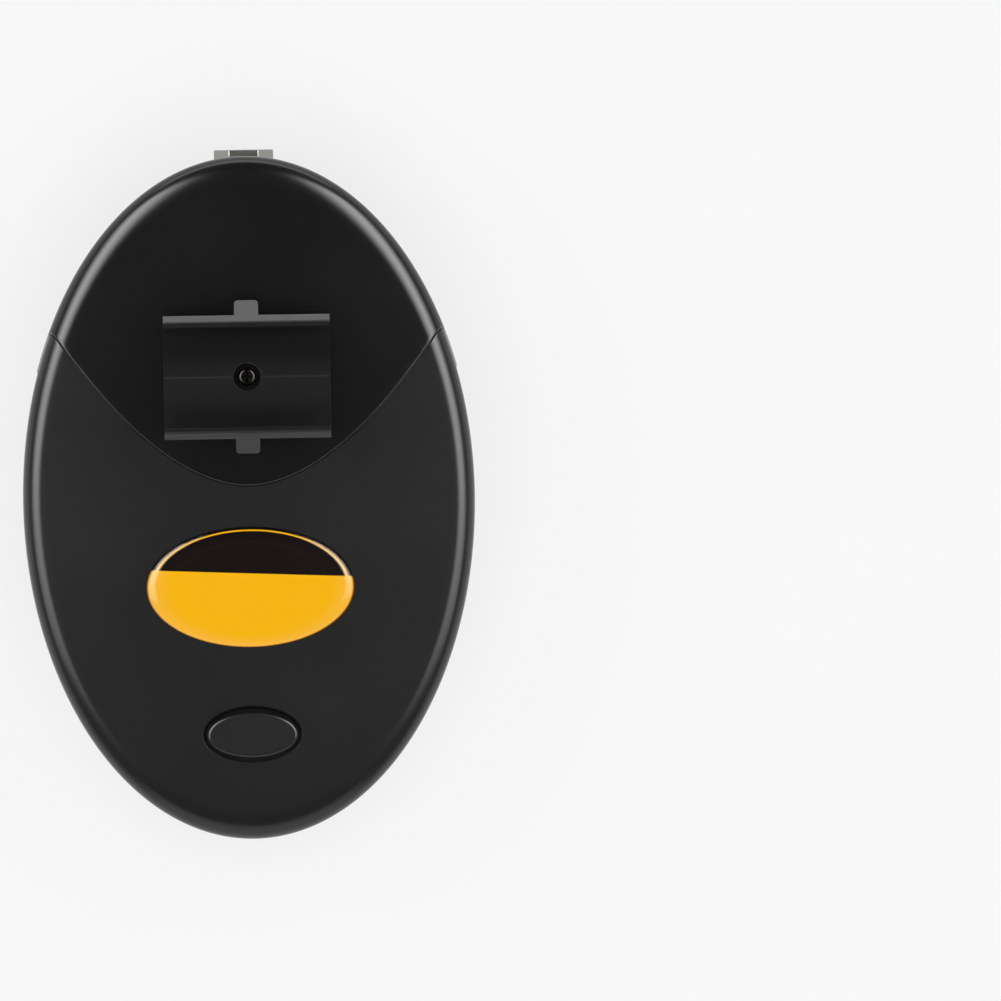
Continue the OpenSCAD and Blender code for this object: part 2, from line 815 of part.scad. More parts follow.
guide_pins_at = [for (a = [45:90:315]) [guide_r * cos(a), guide_r * sin(a)]];
pin_top_z = plate_z + plate_t + 0.3;

module motor_frame() {
  color([0.3, 0.32, 0.34]) difference() {
    at_drive(frame_z) translate([-frame_post_x - 5, -frame_post_y - 5, 0])
      cube([2 * frame_post_x + 10, 2 * frame_post_y + 10, frame_t]);
    at_drive() cylinder(d = motor_boss_d + 0.2, h = far);
    for (x = [-1, 1]) at_drive() translate([x * motor_screw_x, 0, 0]) cylinder(d = small_screw_d + 0.3, h = far);
    for (p = guide_pins_at) at_drive() translate([p[0], p[1], 0]) cylinder(d = pin_d + 2 * fit_gap, h = far);
    for (p = frame_posts) translate([p[0], p[1], 0]) cylinder(d = screw_d + 0.3, h = far);
  }
}

module motor_screws() {
  head = 0.4; // low heads, so the eccentric turns clear over them
  color(steel) for (x = [-1, 1]) at_drive(frame_z + frame_t) translate([x * motor_screw_x, 0, 0])
    union() {
      cylinder(d = small_head_d, h = head);
      translate([0, 0, -frame_t - 1]) cylinder(d = small_screw_d, h = frame_t + 1.1);
    }
}

module frame_screws() {
  color(steel) for (p = frame_posts) translate([p[0], p[1], frame_z + frame_t])
    pan_screw(screw_d, screw_head_d, screw_head_h, frame_screw_l);
}

module guide_pins() {
  color(steel) for (p = guide_pins_at) at_drive(frame_z) translate([p[0], p[1], 0])
    cylinder(d = pin_d, h = pin_top_z - frame_z);
}

module guide_sleeves() {
  color([0.1, 0.1, 0.1]) for (p = guide_pins_at) at_drive(plate_z - 2) translate([p[0], p[1], 0])
    difference() {
      cylinder(d = sleeve_d, h = pin_top_z - plate_z + 2);
      translate([0, 0, -1]) cylinder(d = pin_d + 2 * fit_gap, h = far);
    }
}

// ---- crank and bearing ----

module at_crank(z = 0) { translate([0, cradle_y, z]) children(); }

module eccentric() {
  weight_r = guide_r - sleeve_d / 2 - 1;
  color([0.8, 0.66, 0.3]) difference() {
    at_drive(eccentric_z) {
      cylinder(r = throw + bearing_bore, h = eccentric_h);
      intersection() {
        cylinder(r = weight_r, h = eccentric_h);
        translate([-far / 2, -far, 0]) cube([far, far - 1, eccentric_h]);
      }
    }
    at_drive() cylinder(d = shaft_d + 2 * fit_gap, h = far);
    at_crank() cylinder(d = bearing_bore + 2 * fit_gap, h = far);
  }
}

module crank_pin() {
  color(steel) at_crank(eccentric_z + 0.2) difference() {
    union() {
      cylinder(d = bearing_bore, h = bearing_top_z + 1.2 - eccentric_z - 0.2);
      translate([0, 0, eccentric_h]) cylinder(d = bearing_bore + 1.4, h = bearing_z - eccentric_z - eccentric_h - 0.2);
    }
    translate([0, 0, bearing_top_z - eccentric_z - 0.2]) difference() {
      cylinder(d = bearing_bore + 2, h = 0.7);
      translate([0, 0, -1]) cylinder(d = bearing_bore - 1, h = 3);
    }
  }
}

ball_d = bearing_w * 0.45;
race_mid = (bearing_d + bearing_bore) / 4;
race_gap = ball_d * 0.35;
ball_count = 7;

module race(inner, outer) {
  difference() {
    cylinder(d = outer, h = bearing_w);
    translate([0, 0, -1]) cylinder(d = inner, h = bearing_w + 2);
    translate([0, 0, bearing_w / 2]) rotate_extrude() translate([race_mid, 0]) circle(d = ball_d + 0.1, $fn = 24);
  }
}

module bearing_inner() {
  color(steel) at_crank(bearing_z) race(bearing_bore + 2 * fit_gap, 2 * (race_mid - race_gap));
}

module bearing_outer() {
  color(steel) at_crank(bearing_z) race(2 * (race_mid + race_gap), bearing_d);
}

module bearing_balls() {
  color([0.85, 0.85, 0.87]) at_crank(bearing_z + bearing_w / 2) for (i = [0:ball_count - 1])
    rotate(360 * i / ball_count) translate([race_mid, 0, 0]) sphere(d = ball_d, $fn = 24);
}

module bearing_clip() {
  color(steel) at_crank(bearing_top_z + 0.05) difference() {
    cylinder(d = bearing_bore + 2.4, h = 0.6);
    translate([0, 0, -1]) cylinder(d = bearing_bore - 0.9, h = 3);
    translate([0, -0.8, -1]) cube([10, 1.6, 3]);
  }
}

// ---- carrier and cradle ----

module carrier() {
  color([0.82, 0.82, 0.8]) at_crank() difference() {
    union() {
      translate([0, 0, plate_z]) cylinder(r = plate_r, h = plate_t, $fn = 96);
      translate([0, 0, plate_z]) cylinder(d = hub_d, h = cradle_z - plate_z);
    }
    for (p = guide_pins_at) translate([p[0], p[1], 0]) cylinder(d = guide_hole_d, h = far);
    translate([0, 0, plate_z - 1]) cylinder(d = bearing_d + 2 * fit_gap, h = bearing_top_z - plate_z + 1);
    translate([0, 0, plate_z]) cylinder(d = bearing_bore + 3.6, h = bearing_top_z + 1.6 - plate_z);
    translate([0, 0, cradle_z - 4.5]) cylinder(d = screw_d + 2 * fit_gap, h = 10);
  }
}

module dust_shield() {
  color([0.08, 0.08, 0.08]) at_crank(cradle_z - shield_t) difference() {
    cylinder(d = shield_d, h = shield_t, $fn = 72);
    translate([0, 0, -1]) cylinder(d = hub_d + 2 * fit_gap, h = 5);
  }
}

groove_w = 0.45; // between the liner's edge and the flange
groove_h = 1;
flange_edge_h = 2.5;
tab_corner_r = 1;
tab_hook_t = 1.8; // the tabs' outer edges turn down
screw_well_d = 8;
screw_seat_z = cradle_z + 2;

module trough(r, l) {
  translate([-l / 2, 0, trough_z + pocket_r]) rotate([0, 90, 0]) cylinder(r = r, h = l, $fn = 180);
}

// a strap tab on one side of the cradle, with its outer corners rounded
module strap_tab(side) {
  outer = cradle_w / 2 + tab_reach;
  mirror([0, side < 0 ? 1 : 0, 0]) {
    translate([-tab_w / 2, 0, lip_z - flange_edge_h]) cube([tab_w, outer - tab_corner_r, flange_edge_h]);
    translate([tab_corner_r - tab_w / 2, 0, lip_z - flange_edge_h])
      cube([tab_w - 2 * tab_corner_r, outer, flange_edge_h]);
    for (x = [-1, 1]) translate([x * (tab_w / 2 - tab_corner_r), outer - tab_corner_r, lip_z - flange_edge_h])
      cylinder(r = tab_corner_r, h = flange_edge_h);
    translate([tab_corner_r - tab_w / 2, outer - tab_hook_t, lip_z - 2 * flange_edge_h])
      cube([tab_w - 2 * tab_corner_r, tab_hook_t, 2 * flange_edge_h]);
  }
}

module cradle() {
  skirt_in = 1; // the skirt stands this far inside the flanges
  color(grey) at_crank() difference() {
    union() {
      translate([-cradle_l / 2, -cradle_w / 2, cradle_z + skirt_in])
        cube([cradle_l, cradle_w, lip_z - cradle_z - skirt_in]);
      translate([skirt_in - cradle_l / 2, skirt_in - cradle_w / 2, cradle_z])
        cube([cradle_l - 2 * skirt_in, cradle_w - 2 * skirt_in, 2 * skirt_in]);
      for (side = [-1, 1]) strap_tab(side);
    }
    trough(pocket_r, cradle_l + 2);
    for (side = [-1, 1])
      translate([-cradle_l / 2 - 1, side * (trough_w - groove_w) / 2 - 1.5 * groove_w, lip_z - groove_h])
        cube([cradle_l + 2, 3 * groove_w, groove_h + 1]);
    translate([0, 0, screw_seat_z]) cylinder(d = screw_well_d, h = 20);
    cylinder(d = screw_d + 2 * fit_gap, h = far);
  }
}

module cradle_liner() {
  color([0.05, 0.05, 0.05]) at_crank() difference() {
    intersection() {
      trough(pocket_r - fit_gap, cradle_l);
      translate([-far / 2, -far / 2, 0]) cube([far, far, lip_z]);
    }
    trough(trough_r, cradle_l + 2);
    cylinder(d = screw_well_d, h = far);
  }
}

washer_t = 0.5;

module cradle_washer() {
  color(steel) at_crank(screw_seat_z) difference() {
    cylinder(d = screw_well_d - 0.8, h = washer_t);
    translate([0, 0, -1]) cylinder(d = screw_d + 2 * fit_gap, h = 3);
  }
}

module cradle_screw() {
  color([0.15, 0.15, 0.15]) at_crank(screw_seat_z + washer_t)
    pan_screw(screw_d, 5, screw_head_h, screw_seat_z + washer_t - cradle_z + 4);
}

// ---- wires inside the body ----

lead_x = bay_w / 2 + bay_wall + 4;
lead_z = floor_z + 5;
bay_front_face = bay_y - bay_wall;
pad_y = button_y + board_w / 2 - 4; // row of solder pads on the board's rear edge

// each pair runs beside the battery bay; s is the side of the machine
module motor_leads() {
  color([0.75, 0.1, 0.1]) for (s = [-1, 1]) lead([
    [s * (terminal_x + 1.2), drive_y, motor_z - 2],
    [s * (terminal_x + 3), drive_y, motor_z - 2],
    [s * (terminal_x + 5), drive_y - 1, motor_z - 2.5],
    [s * (lead_x - 16), drive_y - 4, lead_z + 1],
    [s * (lead_x - 3.5), drive_y - 8, lead_z + 1],
    [s * lead_x, bay_rear_y - 6, lead_z],
    [s * lead_x, bay_rear_y - 30, lead_z],
    [s * lead_x, bay_y + 6, lead_z],
    [s * (lead_x - 3), bay_front_face - 1.5, lead_z + 1],
    [s * 25, bay_front_face - 2.5, lead_z + 2],
    [s * 16, bay_front_face - 4, board_z - 5],
    [s * 12, pad_y, board_z - 2],
    [s * 12, pad_y, board_z]
  ]);
}

module battery_leads() {
  top = bay_top_z + bay_wall;
  color([0.1, 0.1, 0.1]) for (s = [-1, 1]) lead([
    [s * (bay_w / 2 - 6), bay_y + 4, top],
    [s * (bay_w / 2 - 6), bay_y + 4, top + 1.5],
    [s * (bay_w / 2 - 7), bay_y + 2.5, top + 3],
    [s * 18, bay_front_face - 1, top + 1.5],
    [s * 10, bay_front_face - 2.5, board_z - 5],
    [s * 6, pad_y, board_z - 2.5],
    [s * 6, pad_y, board_z]
  ]);
}

module inlet_leads() {
  tail = inlet_pad_y - inlet_tail;
  color([0.8, 0.75, 0.1]) for (s = [-1, 1]) lead([
    [s * 3, tail, inlet_z],
    [s * 3, tail - 2.5, inlet_z],
    [s * 8, tail - 7, inlet_z - 2],
    [s * (cup_x - 12), cup_rear_y + 5, lead_z + 9],
    [s * (cup_x - 6.5), cup_rear_y - 3.5, lead_z + 8],
    [s * (frame_post_x + 8), drive_y + frame_post_y - 5, lead_z + 6],
    [s * (lead_x + 2.5), drive_y, lead_z + 4],
    [s * (lead_x + 2.5), bay_rear_y - 20, lead_z + 3],
    [s * (lead_x + 2.5), bay_y + 4, lead_z + 3],
    [s * (lead_x - 2.5), bay_front_face - 3, lead_z + 5],
    [s * 26, bay_front_face - 4.5, lead_z + 6],
    [s * 19, pad_y + 1, board_z - 2],
    [s * 18, pad_y, board_z - 1],
    [s * 18, pad_y, board_z]
  ]);
}

base_housing();
front_housing();
rear_cover();
suction_cups();
housing_screws();
badge_plate();
badge_dome();
push_button();
button_spring();
switch_plunger();
switch_body();
switch_board();
board_screws();
board_components();
battery_door();
door_screw();
battery_cells();
battery_springs();
battery_contacts();
inlet_body();
inlet_nut_ring();
inlet_pin();
motor_can();
motor_end_cap();
motor_terminals();
motor_magnets();
motor_capacitor();
motor_armature();
motor_shaft();
motor_frame();
motor_screws();
frame_screws();
guide_pins();
guide_sleeves();
eccentric();
crank_pin();
bearing_inner();
bearing_balls();
bearing_outer();
bearing_clip();
carrier();
dust_shield();
cradle();
cradle_liner();
cradle_screw();
cradle_washer();
motor_leads();
battery_leads();
inlet_leads();
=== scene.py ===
import json
import math

import bmesh
import bpy
import numpy as np
from mathutils import Matrix, Vector

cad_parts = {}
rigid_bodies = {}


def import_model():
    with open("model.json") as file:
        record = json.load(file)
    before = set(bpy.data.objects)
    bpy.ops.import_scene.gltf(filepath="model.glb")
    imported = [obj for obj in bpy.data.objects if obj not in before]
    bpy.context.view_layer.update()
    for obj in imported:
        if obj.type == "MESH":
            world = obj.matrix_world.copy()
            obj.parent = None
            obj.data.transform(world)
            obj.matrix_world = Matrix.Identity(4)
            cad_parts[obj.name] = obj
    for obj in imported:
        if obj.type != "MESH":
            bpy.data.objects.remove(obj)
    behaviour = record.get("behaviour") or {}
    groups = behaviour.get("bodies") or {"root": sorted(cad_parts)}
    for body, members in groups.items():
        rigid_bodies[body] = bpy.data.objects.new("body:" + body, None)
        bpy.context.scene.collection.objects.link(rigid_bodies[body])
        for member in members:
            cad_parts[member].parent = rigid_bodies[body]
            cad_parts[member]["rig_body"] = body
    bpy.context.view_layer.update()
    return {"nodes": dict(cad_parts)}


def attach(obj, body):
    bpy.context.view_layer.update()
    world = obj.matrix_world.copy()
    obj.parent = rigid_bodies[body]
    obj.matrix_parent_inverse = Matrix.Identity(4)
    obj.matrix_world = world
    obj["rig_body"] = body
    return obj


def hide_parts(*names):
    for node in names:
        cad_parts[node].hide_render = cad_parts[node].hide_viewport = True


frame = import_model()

nodes = frame["nodes"]
MM = 0.001

# ---- Camera ----
# Looks straight down on the machine, which lies in the left half of the picture with its
# power inlet at the top, turned a little anticlockwise as in the photograph.
PIXEL = 0.2699 * MM                # size of a picture point on the machine
PICTURE = 1001                     # points along each side of the picture
MACHINE_AT = (249.0, 498.0)        # picture point of the middle of the body
CAMERA_TURN = math.radians(-0.92)
LENS_HEIGHT = 0.8

camera_data = bpy.data.cameras.new("camera")
camera_data.type = "ORTHO"
camera_data.ortho_scale = PIXEL * PICTURE
camera = bpy.data.objects.new("camera", camera_data)
off_middle = Vector((PICTURE / 2 - MACHINE_AT[0], MACHINE_AT[1] - PICTURE / 2, 0)) * PIXEL
off_middle.rotate(Matrix.Rotation(CAMERA_TURN, 3, "Z"))
camera.location = off_middle + Vector((0, 0, LENS_HEIGHT))
camera.rotation_euler = (0, 0, CAMERA_TURN)
bpy.context.scene.collection.objects.link(camera)
bpy.context.scene.camera = camera

# ---- Table and studio light ----
# A plain white table. A long softbox at each side, brightest along its middle, draws the
# line along the rim. Cards stand before and behind, and lamps hang overhead and underneath.
TABLE_RADIUS = 3.0
TABLE_SIDES = 96
TABLE_OWN_LIGHT = 0.75             # share of its own white that the table shows
SIDE_BOX_OUT = 0.48
SHINE_OUT = 0.52
SHINE_UP = 0.54
# width, length and place along the machine of the nested boxes that only the gloss shows
SHINES = ((0.62, 1.05, 0.12), (0.4, 0.8, 0.24), (0.2, 0.6, 0.34))
ROOM_LIGHT = 0.25
WALL_LOW = 0.55                    # brightness of the room's walls at the table's height
WALL_HIGH = 0.08                   # and from the fade's height up
WALL_FADE = 0.3
WALL_SEEN = 0.4                    # added where the camera sees past the table


class Term:
    """A socket's value. Arithmetic on terms adds Math nodes to their tree."""

    def __init__(self, tree, socket):
        self.tree = tree
        self.socket = socket

    def out(self, name):
        found = [s for s in self.socket.node.outputs if s.enabled and s.name == name]
        return Term(self.tree, found[0])

    def maths(self, operation, *values):
        return self.tree.add("ShaderNodeMath", {"operation": operation}, dict(enumerate(values)))

    def __add__(self, other):
        return self.maths("ADD", self, other)

    def __radd__(self, other):
        return self.maths("ADD", other, self)

    def __sub__(self, other):
        return self.maths("SUBTRACT", self, other)

    def __rsub__(self, other):
        return self.maths("SUBTRACT", other, self)

    def __mul__(self, other):
        return self.maths("MULTIPLY", self, other)

    def __rmul__(self, other):
        return self.maths("MULTIPLY", other, self)

    def __truediv__(self, other):
        return self.maths("DIVIDE", self, other)

    def __rtruediv__(self, other):
        return self.maths("DIVIDE", other, self)

    def __pow__(self, other):
        return self.maths("POWER", self, other)

    def __lt__(self, other):
        return self.maths("LESS_THAN", self, other)

    def __gt__(self, other):
        return self.maths("GREATER_THAN", self, other)


class Tree:
    """A node tree that grows by one node at a time."""

    def __init__(self, tree):
        self.tree = tree

    def add(self, kind, settings=None, sockets=None):
        node = self.tree.nodes.new(kind)
        for name, value in (settings or {}).items():
            if name == "stops":
                self.set_stops(node.color_ramp, value)
            else:
                setattr(node, name, value)
        for key, value in (sockets or {}).items():
            socket = node.inputs[key]
            if isinstance(key, str):
                socket = [s for s in node.inputs if s.enabled and s.name == key][0]
            if isinstance(value, Term):
                self.tree.links.new(value.socket, socket)
            else:
                socket.default_value = value
        shown = [s for s in node.outputs if s.enabled]
        return Term(self, shown[0]) if shown else None

    def set_stops(self, ramp, stops):
        while len(ramp.elements) < len(stops):
            ramp.elements.new(1.0)
        for element, (place, colour) in zip(ramp.elements, stops):
            element.position = place
            element.color = colour


def material_tree(name):
    material = bpy.data.materials.new(name)
    material.use_nodes = True
    material.node_tree.nodes.clear()
    return material, Tree(material.node_tree)


def mesh_object(name, mesh):
    piece = bpy.data.objects.new(name, mesh)
    bpy.context.scene.collection.objects.link(piece)
    return piece


def seen_directly(tree):
    """1 where a camera, mirror or glass shows the surface, and 0 where it only gives light."""
    path = tree.add("ShaderNodeLightPath")
    shown = path.out("Is Camera Ray") + path.out("Is Glossy Ray")
    return shown.maths("MINIMUM", shown + path.out("Is Transmission Ray"), 1.0)


table_white, tree = material_tree("table_white")
where = tree.add("ShaderNodeTexCoord").out("Object")
grain = tree.add("ShaderNodeTexNoise", {}, {"Vector": where, "Scale": 9.0, "Detail": 3.0})
shade = tree.add(
    "ShaderNodeValToRGB",
    {"stops": [(0.3, (0.79, 0.79, 0.79, 1)), (0.7, (0.81, 0.81, 0.81, 1))]},
    {"Fac": grain},
)
lit = tree.add("ShaderNodeBsdfDiffuse", {}, {"Color": shade})
own = tree.add("ShaderNodeEmission", {}, {"Color": (1, 1, 1, 1), "Strength": 1.0})
front = tree.add(
    "ShaderNodeMixShader", {}, {0: seen_directly(tree) * TABLE_OWN_LIGHT, 1: lit, 2: own}
)
clear = tree.add("ShaderNodeBsdfTransparent")
light_path = tree.add("ShaderNodeLightPath")
under = tree.add("ShaderNodeNewGeometry").out("Backfacing")
passed = under.maths("MAXIMUM", under, light_path.out("Is Shadow Ray"))
tree.add(
    "ShaderNodeOutputMaterial",
    {},
    {"Surface": tree.add("ShaderNodeMixShader", {}, {0: passed, 1: front, 2: clear})},
)

table_mesh = bpy.data.meshes.new("table")
table_turns = [math.tau * i / TABLE_SIDES for i in range(TABLE_SIDES)]
table_mesh.from_pydata(
    [(TABLE_RADIUS * math.cos(turn), TABLE_RADIUS * math.sin(turn), 0) for turn in table_turns],
    [],
    [list(range(TABLE_SIDES))],
)
table_mesh.materials.append(table_white)
table = mesh_object("table", table_mesh)


def softbox(name, where, width, length, brightness, along=(0, 1, 0)):
    """A flat lamp that faces the machine, its length along an axis, of that surface brightness."""
    lamp_data = bpy.data.lights.new(name, "AREA")
    lamp_data.shape = "RECTANGLE"
    lamp_data.size = width
    lamp_data.size_y = length
    lamp_data.energy = brightness * math.pi * width * length
    lamp = bpy.data.objects.new(name, lamp_data)
    lamp.location = where
    back = Vector(where).normalized()
    side = Vector(along).cross(back).normalized()
    lamp.rotation_euler = Matrix((side, back.cross(side), back)).transposed().to_euler()
    bpy.context.scene.collection.objects.link(lamp)
    lamp.visible_camera = False
    return lamp


for name, side in (("softbox_left", -1), ("softbox_right", 1)):
    softbox(name, (side * SIDE_BOX_OUT, 0.2, 0.58), width=0.35, length=1.0, brightness=1.4)
    for ring, (wide, long, back) in enumerate(SHINES):
        place = (side * SHINE_OUT, back, SHINE_UP)
        shine = softbox(name + "_shine_%d" % ring, place, wide, long, brightness=2.4)
        shine.visible_diffuse = False
overhead = softbox("softbox_overhead", (0.0, -0.2, 1.0), width=0.6, length=0.6, brightness=4.2)
overhead.visible_glossy = False
upright = (0, 0, 1)
softbox("card_rear", (0.0, 0.9, 0.1), width=1.2, length=0.2, brightness=1.8, along=upright)
softbox("card_front", (0.0, -0.9, 0.28), width=1.2, length=0.4, brightness=0.7, along=upright)
softbox("lamp_under", (0.0, -0.1, -0.9), width=0.9, length=0.9, brightness=2.0)

world = bpy.data.worlds.new("room")
world.use_nodes = True
world.node_tree.nodes.clear()
tree = Tree(world.node_tree)
direction = tree.add("ShaderNodeTexCoord").out("Generated")
height = tree.add("ShaderNodeSeparateXYZ", {}, {0: direction}).out("Z")
wall_shade = tree.add(
    "ShaderNodeMapRange", {}, {"Value": height, 1: 0.0, 2: WALL_FADE, 3: WALL_LOW, 4: WALL_HIGH}
)
wall_shade = wall_shade + tree.add("ShaderNodeLightPath").out("Is Camera Ray") * WALL_SEEN
strength = ROOM_LIGHT + seen_directly(tree) * (wall_shade - ROOM_LIGHT)
background = tree.add("ShaderNodeBackground", {}, {"Color": (1, 1, 1, 1), "Strength": strength})
tree.add("ShaderNodeOutputWorld", {}, {"Surface": background})
bpy.context.scene.world = world

bpy.context.scene.view_settings.view_transform = "Standard"

# ---- Base ----
# The tray that everything stands in, moulded in the same black ABS as the shells, with a
# flared side, a square battery bay, four round seats for the feet and two vents.


def softened(name, cad_name, radius, material, sharp=30):
    """A copy of a CAD piece, with its moulded edges rounded, that takes its place."""
    work = bmesh.new()
    work.from_mesh(nodes[cad_name].data)
    bmesh.ops.remove_doubles(work, verts=work.verts, dist=2e-6)
    bmesh.ops.dissolve_limit(
        work,
        angle_limit=math.radians(0.6),
        verts=work.verts,
        edges=work.edges,
        delimit={"NORMAL"},
    )
    bmesh.ops.connect_verts_concave(work, faces=work.faces)
    plain = bpy.data.meshes.new(name)
    work.to_mesh(plain)
    work.free()
    piece = mesh_object(name, plain)
    for polygon in plain.polygons:
        polygon.use_smooth = True
    bevel = piece.modifiers.new("edges", "BEVEL")
    bevel.width = radius
    bevel.segments = 3
    bevel.limit_method = "ANGLE"
    bevel.angle_limit = math.radians(sharp)
    level = piece.modifiers.new("level", "WEIGHTED_NORMAL")
    level.mode = "FACE_AREA"
    level.weight = 60
    bpy.context.view_layer.update()
    depsgraph = bpy.context.evaluated_depsgraph_get()
    piece.data = bpy.data.meshes.new_from_object(piece.evaluated_get(depsgraph))
    piece.modifiers.clear()
    piece.data.name = name
    piece.data.materials.clear()
    piece.data.materials.append(material)
    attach(piece, nodes[cad_name]["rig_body"])
    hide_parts(cad_name)
    return piece


def mixed(factor, low, high):
    """A colour between two, by a factor."""
    sides = {"Factor": factor, "A": low, "B": high}
    return factor.tree.add("ShaderNodeMix", {"data_type": "RGBA"}, sides)


def soft_step(value, start, end):
    """Runs from 0 to 1 as a value passes from start to end."""
    ends = {"Value": value, 1: start, 2: end, 3: 0.0, 4: 1.0}
    return value.tree.add("ShaderNodeMapRange", {}, ends)


def moulded_plastic(name, colour, roughness, grain=0.4, gloss_spread=0.06, shine=0.5, marks=None):
    """Semi-gloss moulded plastic: a faint eggshell grain, and gloss that wanders with handling.

    Marks gives, from the object coordinates, a mask and the colour that the mask brings.
    """
    material, tree = material_tree(name)
    where = tree.add("ShaderNodeTexCoord").out("Object")
    cloud = tree.add("ShaderNodeTexNoise", {}, {"Vector": where, "Scale": 22.0, "Detail": 4.0})
    speck = tree.add("ShaderNodeTexNoise", {}, {"Vector": where, "Scale": 900.0, "Detail": 2.0})
    eggshell = tree.add("ShaderNodeTexNoise", {}, {"Vector": where, "Scale": 2600.0, "Detail": 1.0})
    lighter = tuple(min(1.0, c * 1.35 + 0.001) for c in colour)
    paint = mixed(cloud * 0.9 + speck * 0.1, (*colour, 1), (*lighter, 1))
    if marks:
        mask, marked = marks(where)
        paint = mixed(mask, paint, marked)
    gloss = roughness + (cloud - 0.5) * gloss_spread + (speck - 0.5) * gloss_spread
    relief = tree.add(
        "ShaderNodeBump", {}, {"Height": eggshell, "Distance": 2e-6, "Strength": grain}
    )
    surface = tree.add(
        "ShaderNodeBsdfPrincipled",
        {},
        {
            "Base Color": paint,
            "Roughness": gloss,
            "Normal": relief,
            "IOR": 1.5,
            "Specular IOR Level": shine,
        },
    )
    tree.add("ShaderNodeOutputMaterial", {}, {"Surface": surface})
    return material


# a paler black for the painted highlight along the shells' rounded edges
EDGE_HIGHLIGHT_COLOUR = (0.034, 0.034, 0.035, 1)


def painted_edge_highlight(where):
    """The rounded edges of a shell, found by the form's easing, painted paler as a painted highlight
    where they catch the light.
    """
    eased = where.tree.add("ShaderNodeAttribute", {"attribute_name": "eased"}).out("Fac")
    return soft_step(eased, 0.01 * MM, 0.06 * MM), EDGE_HIGHLIGHT_COLOUR


# the rear cover's rounded edges carry a painted highlight, a paler black where they catch the light
moulded_black = moulded_plastic("moulded_black", (0.0024, 0.0024, 0.0026), 0.22, marks=painted_edge_highlight)
# moulded_grey is a paler copy of the same black ABS, also used on the base, door and collars; on the
# front housing its paler black is painted light, for the brighter look of the forward slope
moulded_grey = moulded_plastic("moulded_grey", (0.0088, 0.0088, 0.0093), 0.24)
base = softened("base_tray", "base_housing", 0.35 * MM, moulded_grey)

# ---- Front housing and rear cover ----
# The two upper shells, injection moulded in black ABS, 2.2 mm thick. Both follow one form:
# an oval plan, a low crowned top that climbs to the rear, and a rim rounded to 5.5 mm. The
# rear cover stands 0.3 mm proud and meets the front housing along a bowed, leaning seam.
BODY = {
    "Half Width": 61 * MM,
    "Half Length": 92 * MM,
    "Height": 54 * MM,
    "Crown": 3 * MM,
    "Rim Radius": 5.5 * MM,
    "Slope": 0.1,
    "Parting": 15 * MM,
    "Wall": 2.2 * MM,
}
COVER_STEP = 0.3 * MM
SEAM_FRONT_Y = 3.1 * MM
SEAM_RISE = 40.9 * MM
SEAM_POWER = 1.86
SEAM_END_X = 53 * MM
SEAM_LEAN = math.radians(16)
SEAM_GAP = 0.06 * MM
EDGE_RADIUS = 0.45 * MM            # of the shells' moulded edges
CRISP_RADIUS = 0.1 * MM            # of the front housing's edge along the seam
BUTTON_Y = -64 * MM
OPENING_Y = -63.75 * MM
BUTTON_OPENING = (13.2 * MM, 7.4 * MM)
DRIVE_Y = 29.7 * MM
TURRET_RADIUS = 12.95 * MM
TURRET_BORE = 10.75 * MM
INLET_Z = 26 * MM
INLET_SEAT_RADIUS = 8.7 * MM
INLET_SEAT_Y = 91.2 * MM
PLAN_SPOKES = 264
CROWN_RINGS = 26
RIM_RINGS = 16
SIDE_RINGS = 10
FOOT_RINGS = [2.96, 2.988, 2.9935, 2.997, 2.9992, 3.0]  # close together, to round the foot
EASING_CUTS = (0.0, 0.08, 0.28, 0.6, 1.0)               # shares of an edge's radius


def geometry_tree(name, sizes):
    """A Geometry Nodes group that takes a mesh and named sizes. Returns it, its nodes and inputs."""
    group = bpy.data.node_groups.new(name, "GeometryNodeTree")
    group.interface.new_socket("Mesh", in_out="INPUT", socket_type="NodeSocketGeometry")
    for size, kind in sizes.items():
        group.interface.new_socket(size, in_out="INPUT", socket_type="NodeSocket" + kind)
    group.interface.new_socket("Mesh", in_out="OUTPUT", socket_type="NodeSocketGeometry")
    tree = Tree(group)
    return group, tree, tree.add("NodeGroupInput")


def end_tree(tree, geometry, material):
    """Ends a tree in plain geometry with its material."""
    plain = tree.add("GeometryNodeRealizeInstances", {}, {"Geometry": geometry})
    coated = tree.add("GeometryNodeSetMaterial", {}, {"Geometry": plain, "Material": material})
    tree.add("NodeGroupOutput", {}, {"Mesh": coated})


def grown(group, start, name, values):
    """A plain mesh object, made by a Geometry Nodes group from a start mesh and its sizes."""
    piece = mesh_object(name, start)
    modifier = piece.modifiers.new("form", "NODES")
    modifier.node_group = group
    for item in group.interface.items_tree:
        if item.in_out == "INPUT" and item.name in values:
            modifier[item.identifier] = values[item.name]
    bpy.context.view_layer.update()
    depsgraph = bpy.context.evaluated_depsgraph_get()
    plain = bpy.data.meshes.new_from_object(piece.evaluated_get(depsgraph))
    piece.modifiers.remove(modifier)
    piece.data = plain
    plain.name = name
    return piece


def shaded(piece, sharp=35):
    """Smooth shading, broken where faces meet at more than this many degrees."""
    for polygon in piece.data.polygons:
        polygon.use_smooth = True
    piece.data.set_sharp_from_angle(angle=math.radians(sharp))
    return piece


kinds = {name: "Float" for name in BODY}
kinds.update({"Proud": "Float", "Hollow": "Bool", "Material": "Material"})
shell_form, tree, given = geometry_tree("shell_form", kinds)
sheet = given.out("Mesh")
half_width, half_length = given.out("Half Width"), given.out("Half Length")
rim_radius, slope = given.out("Rim Radius"), given.out("Slope")

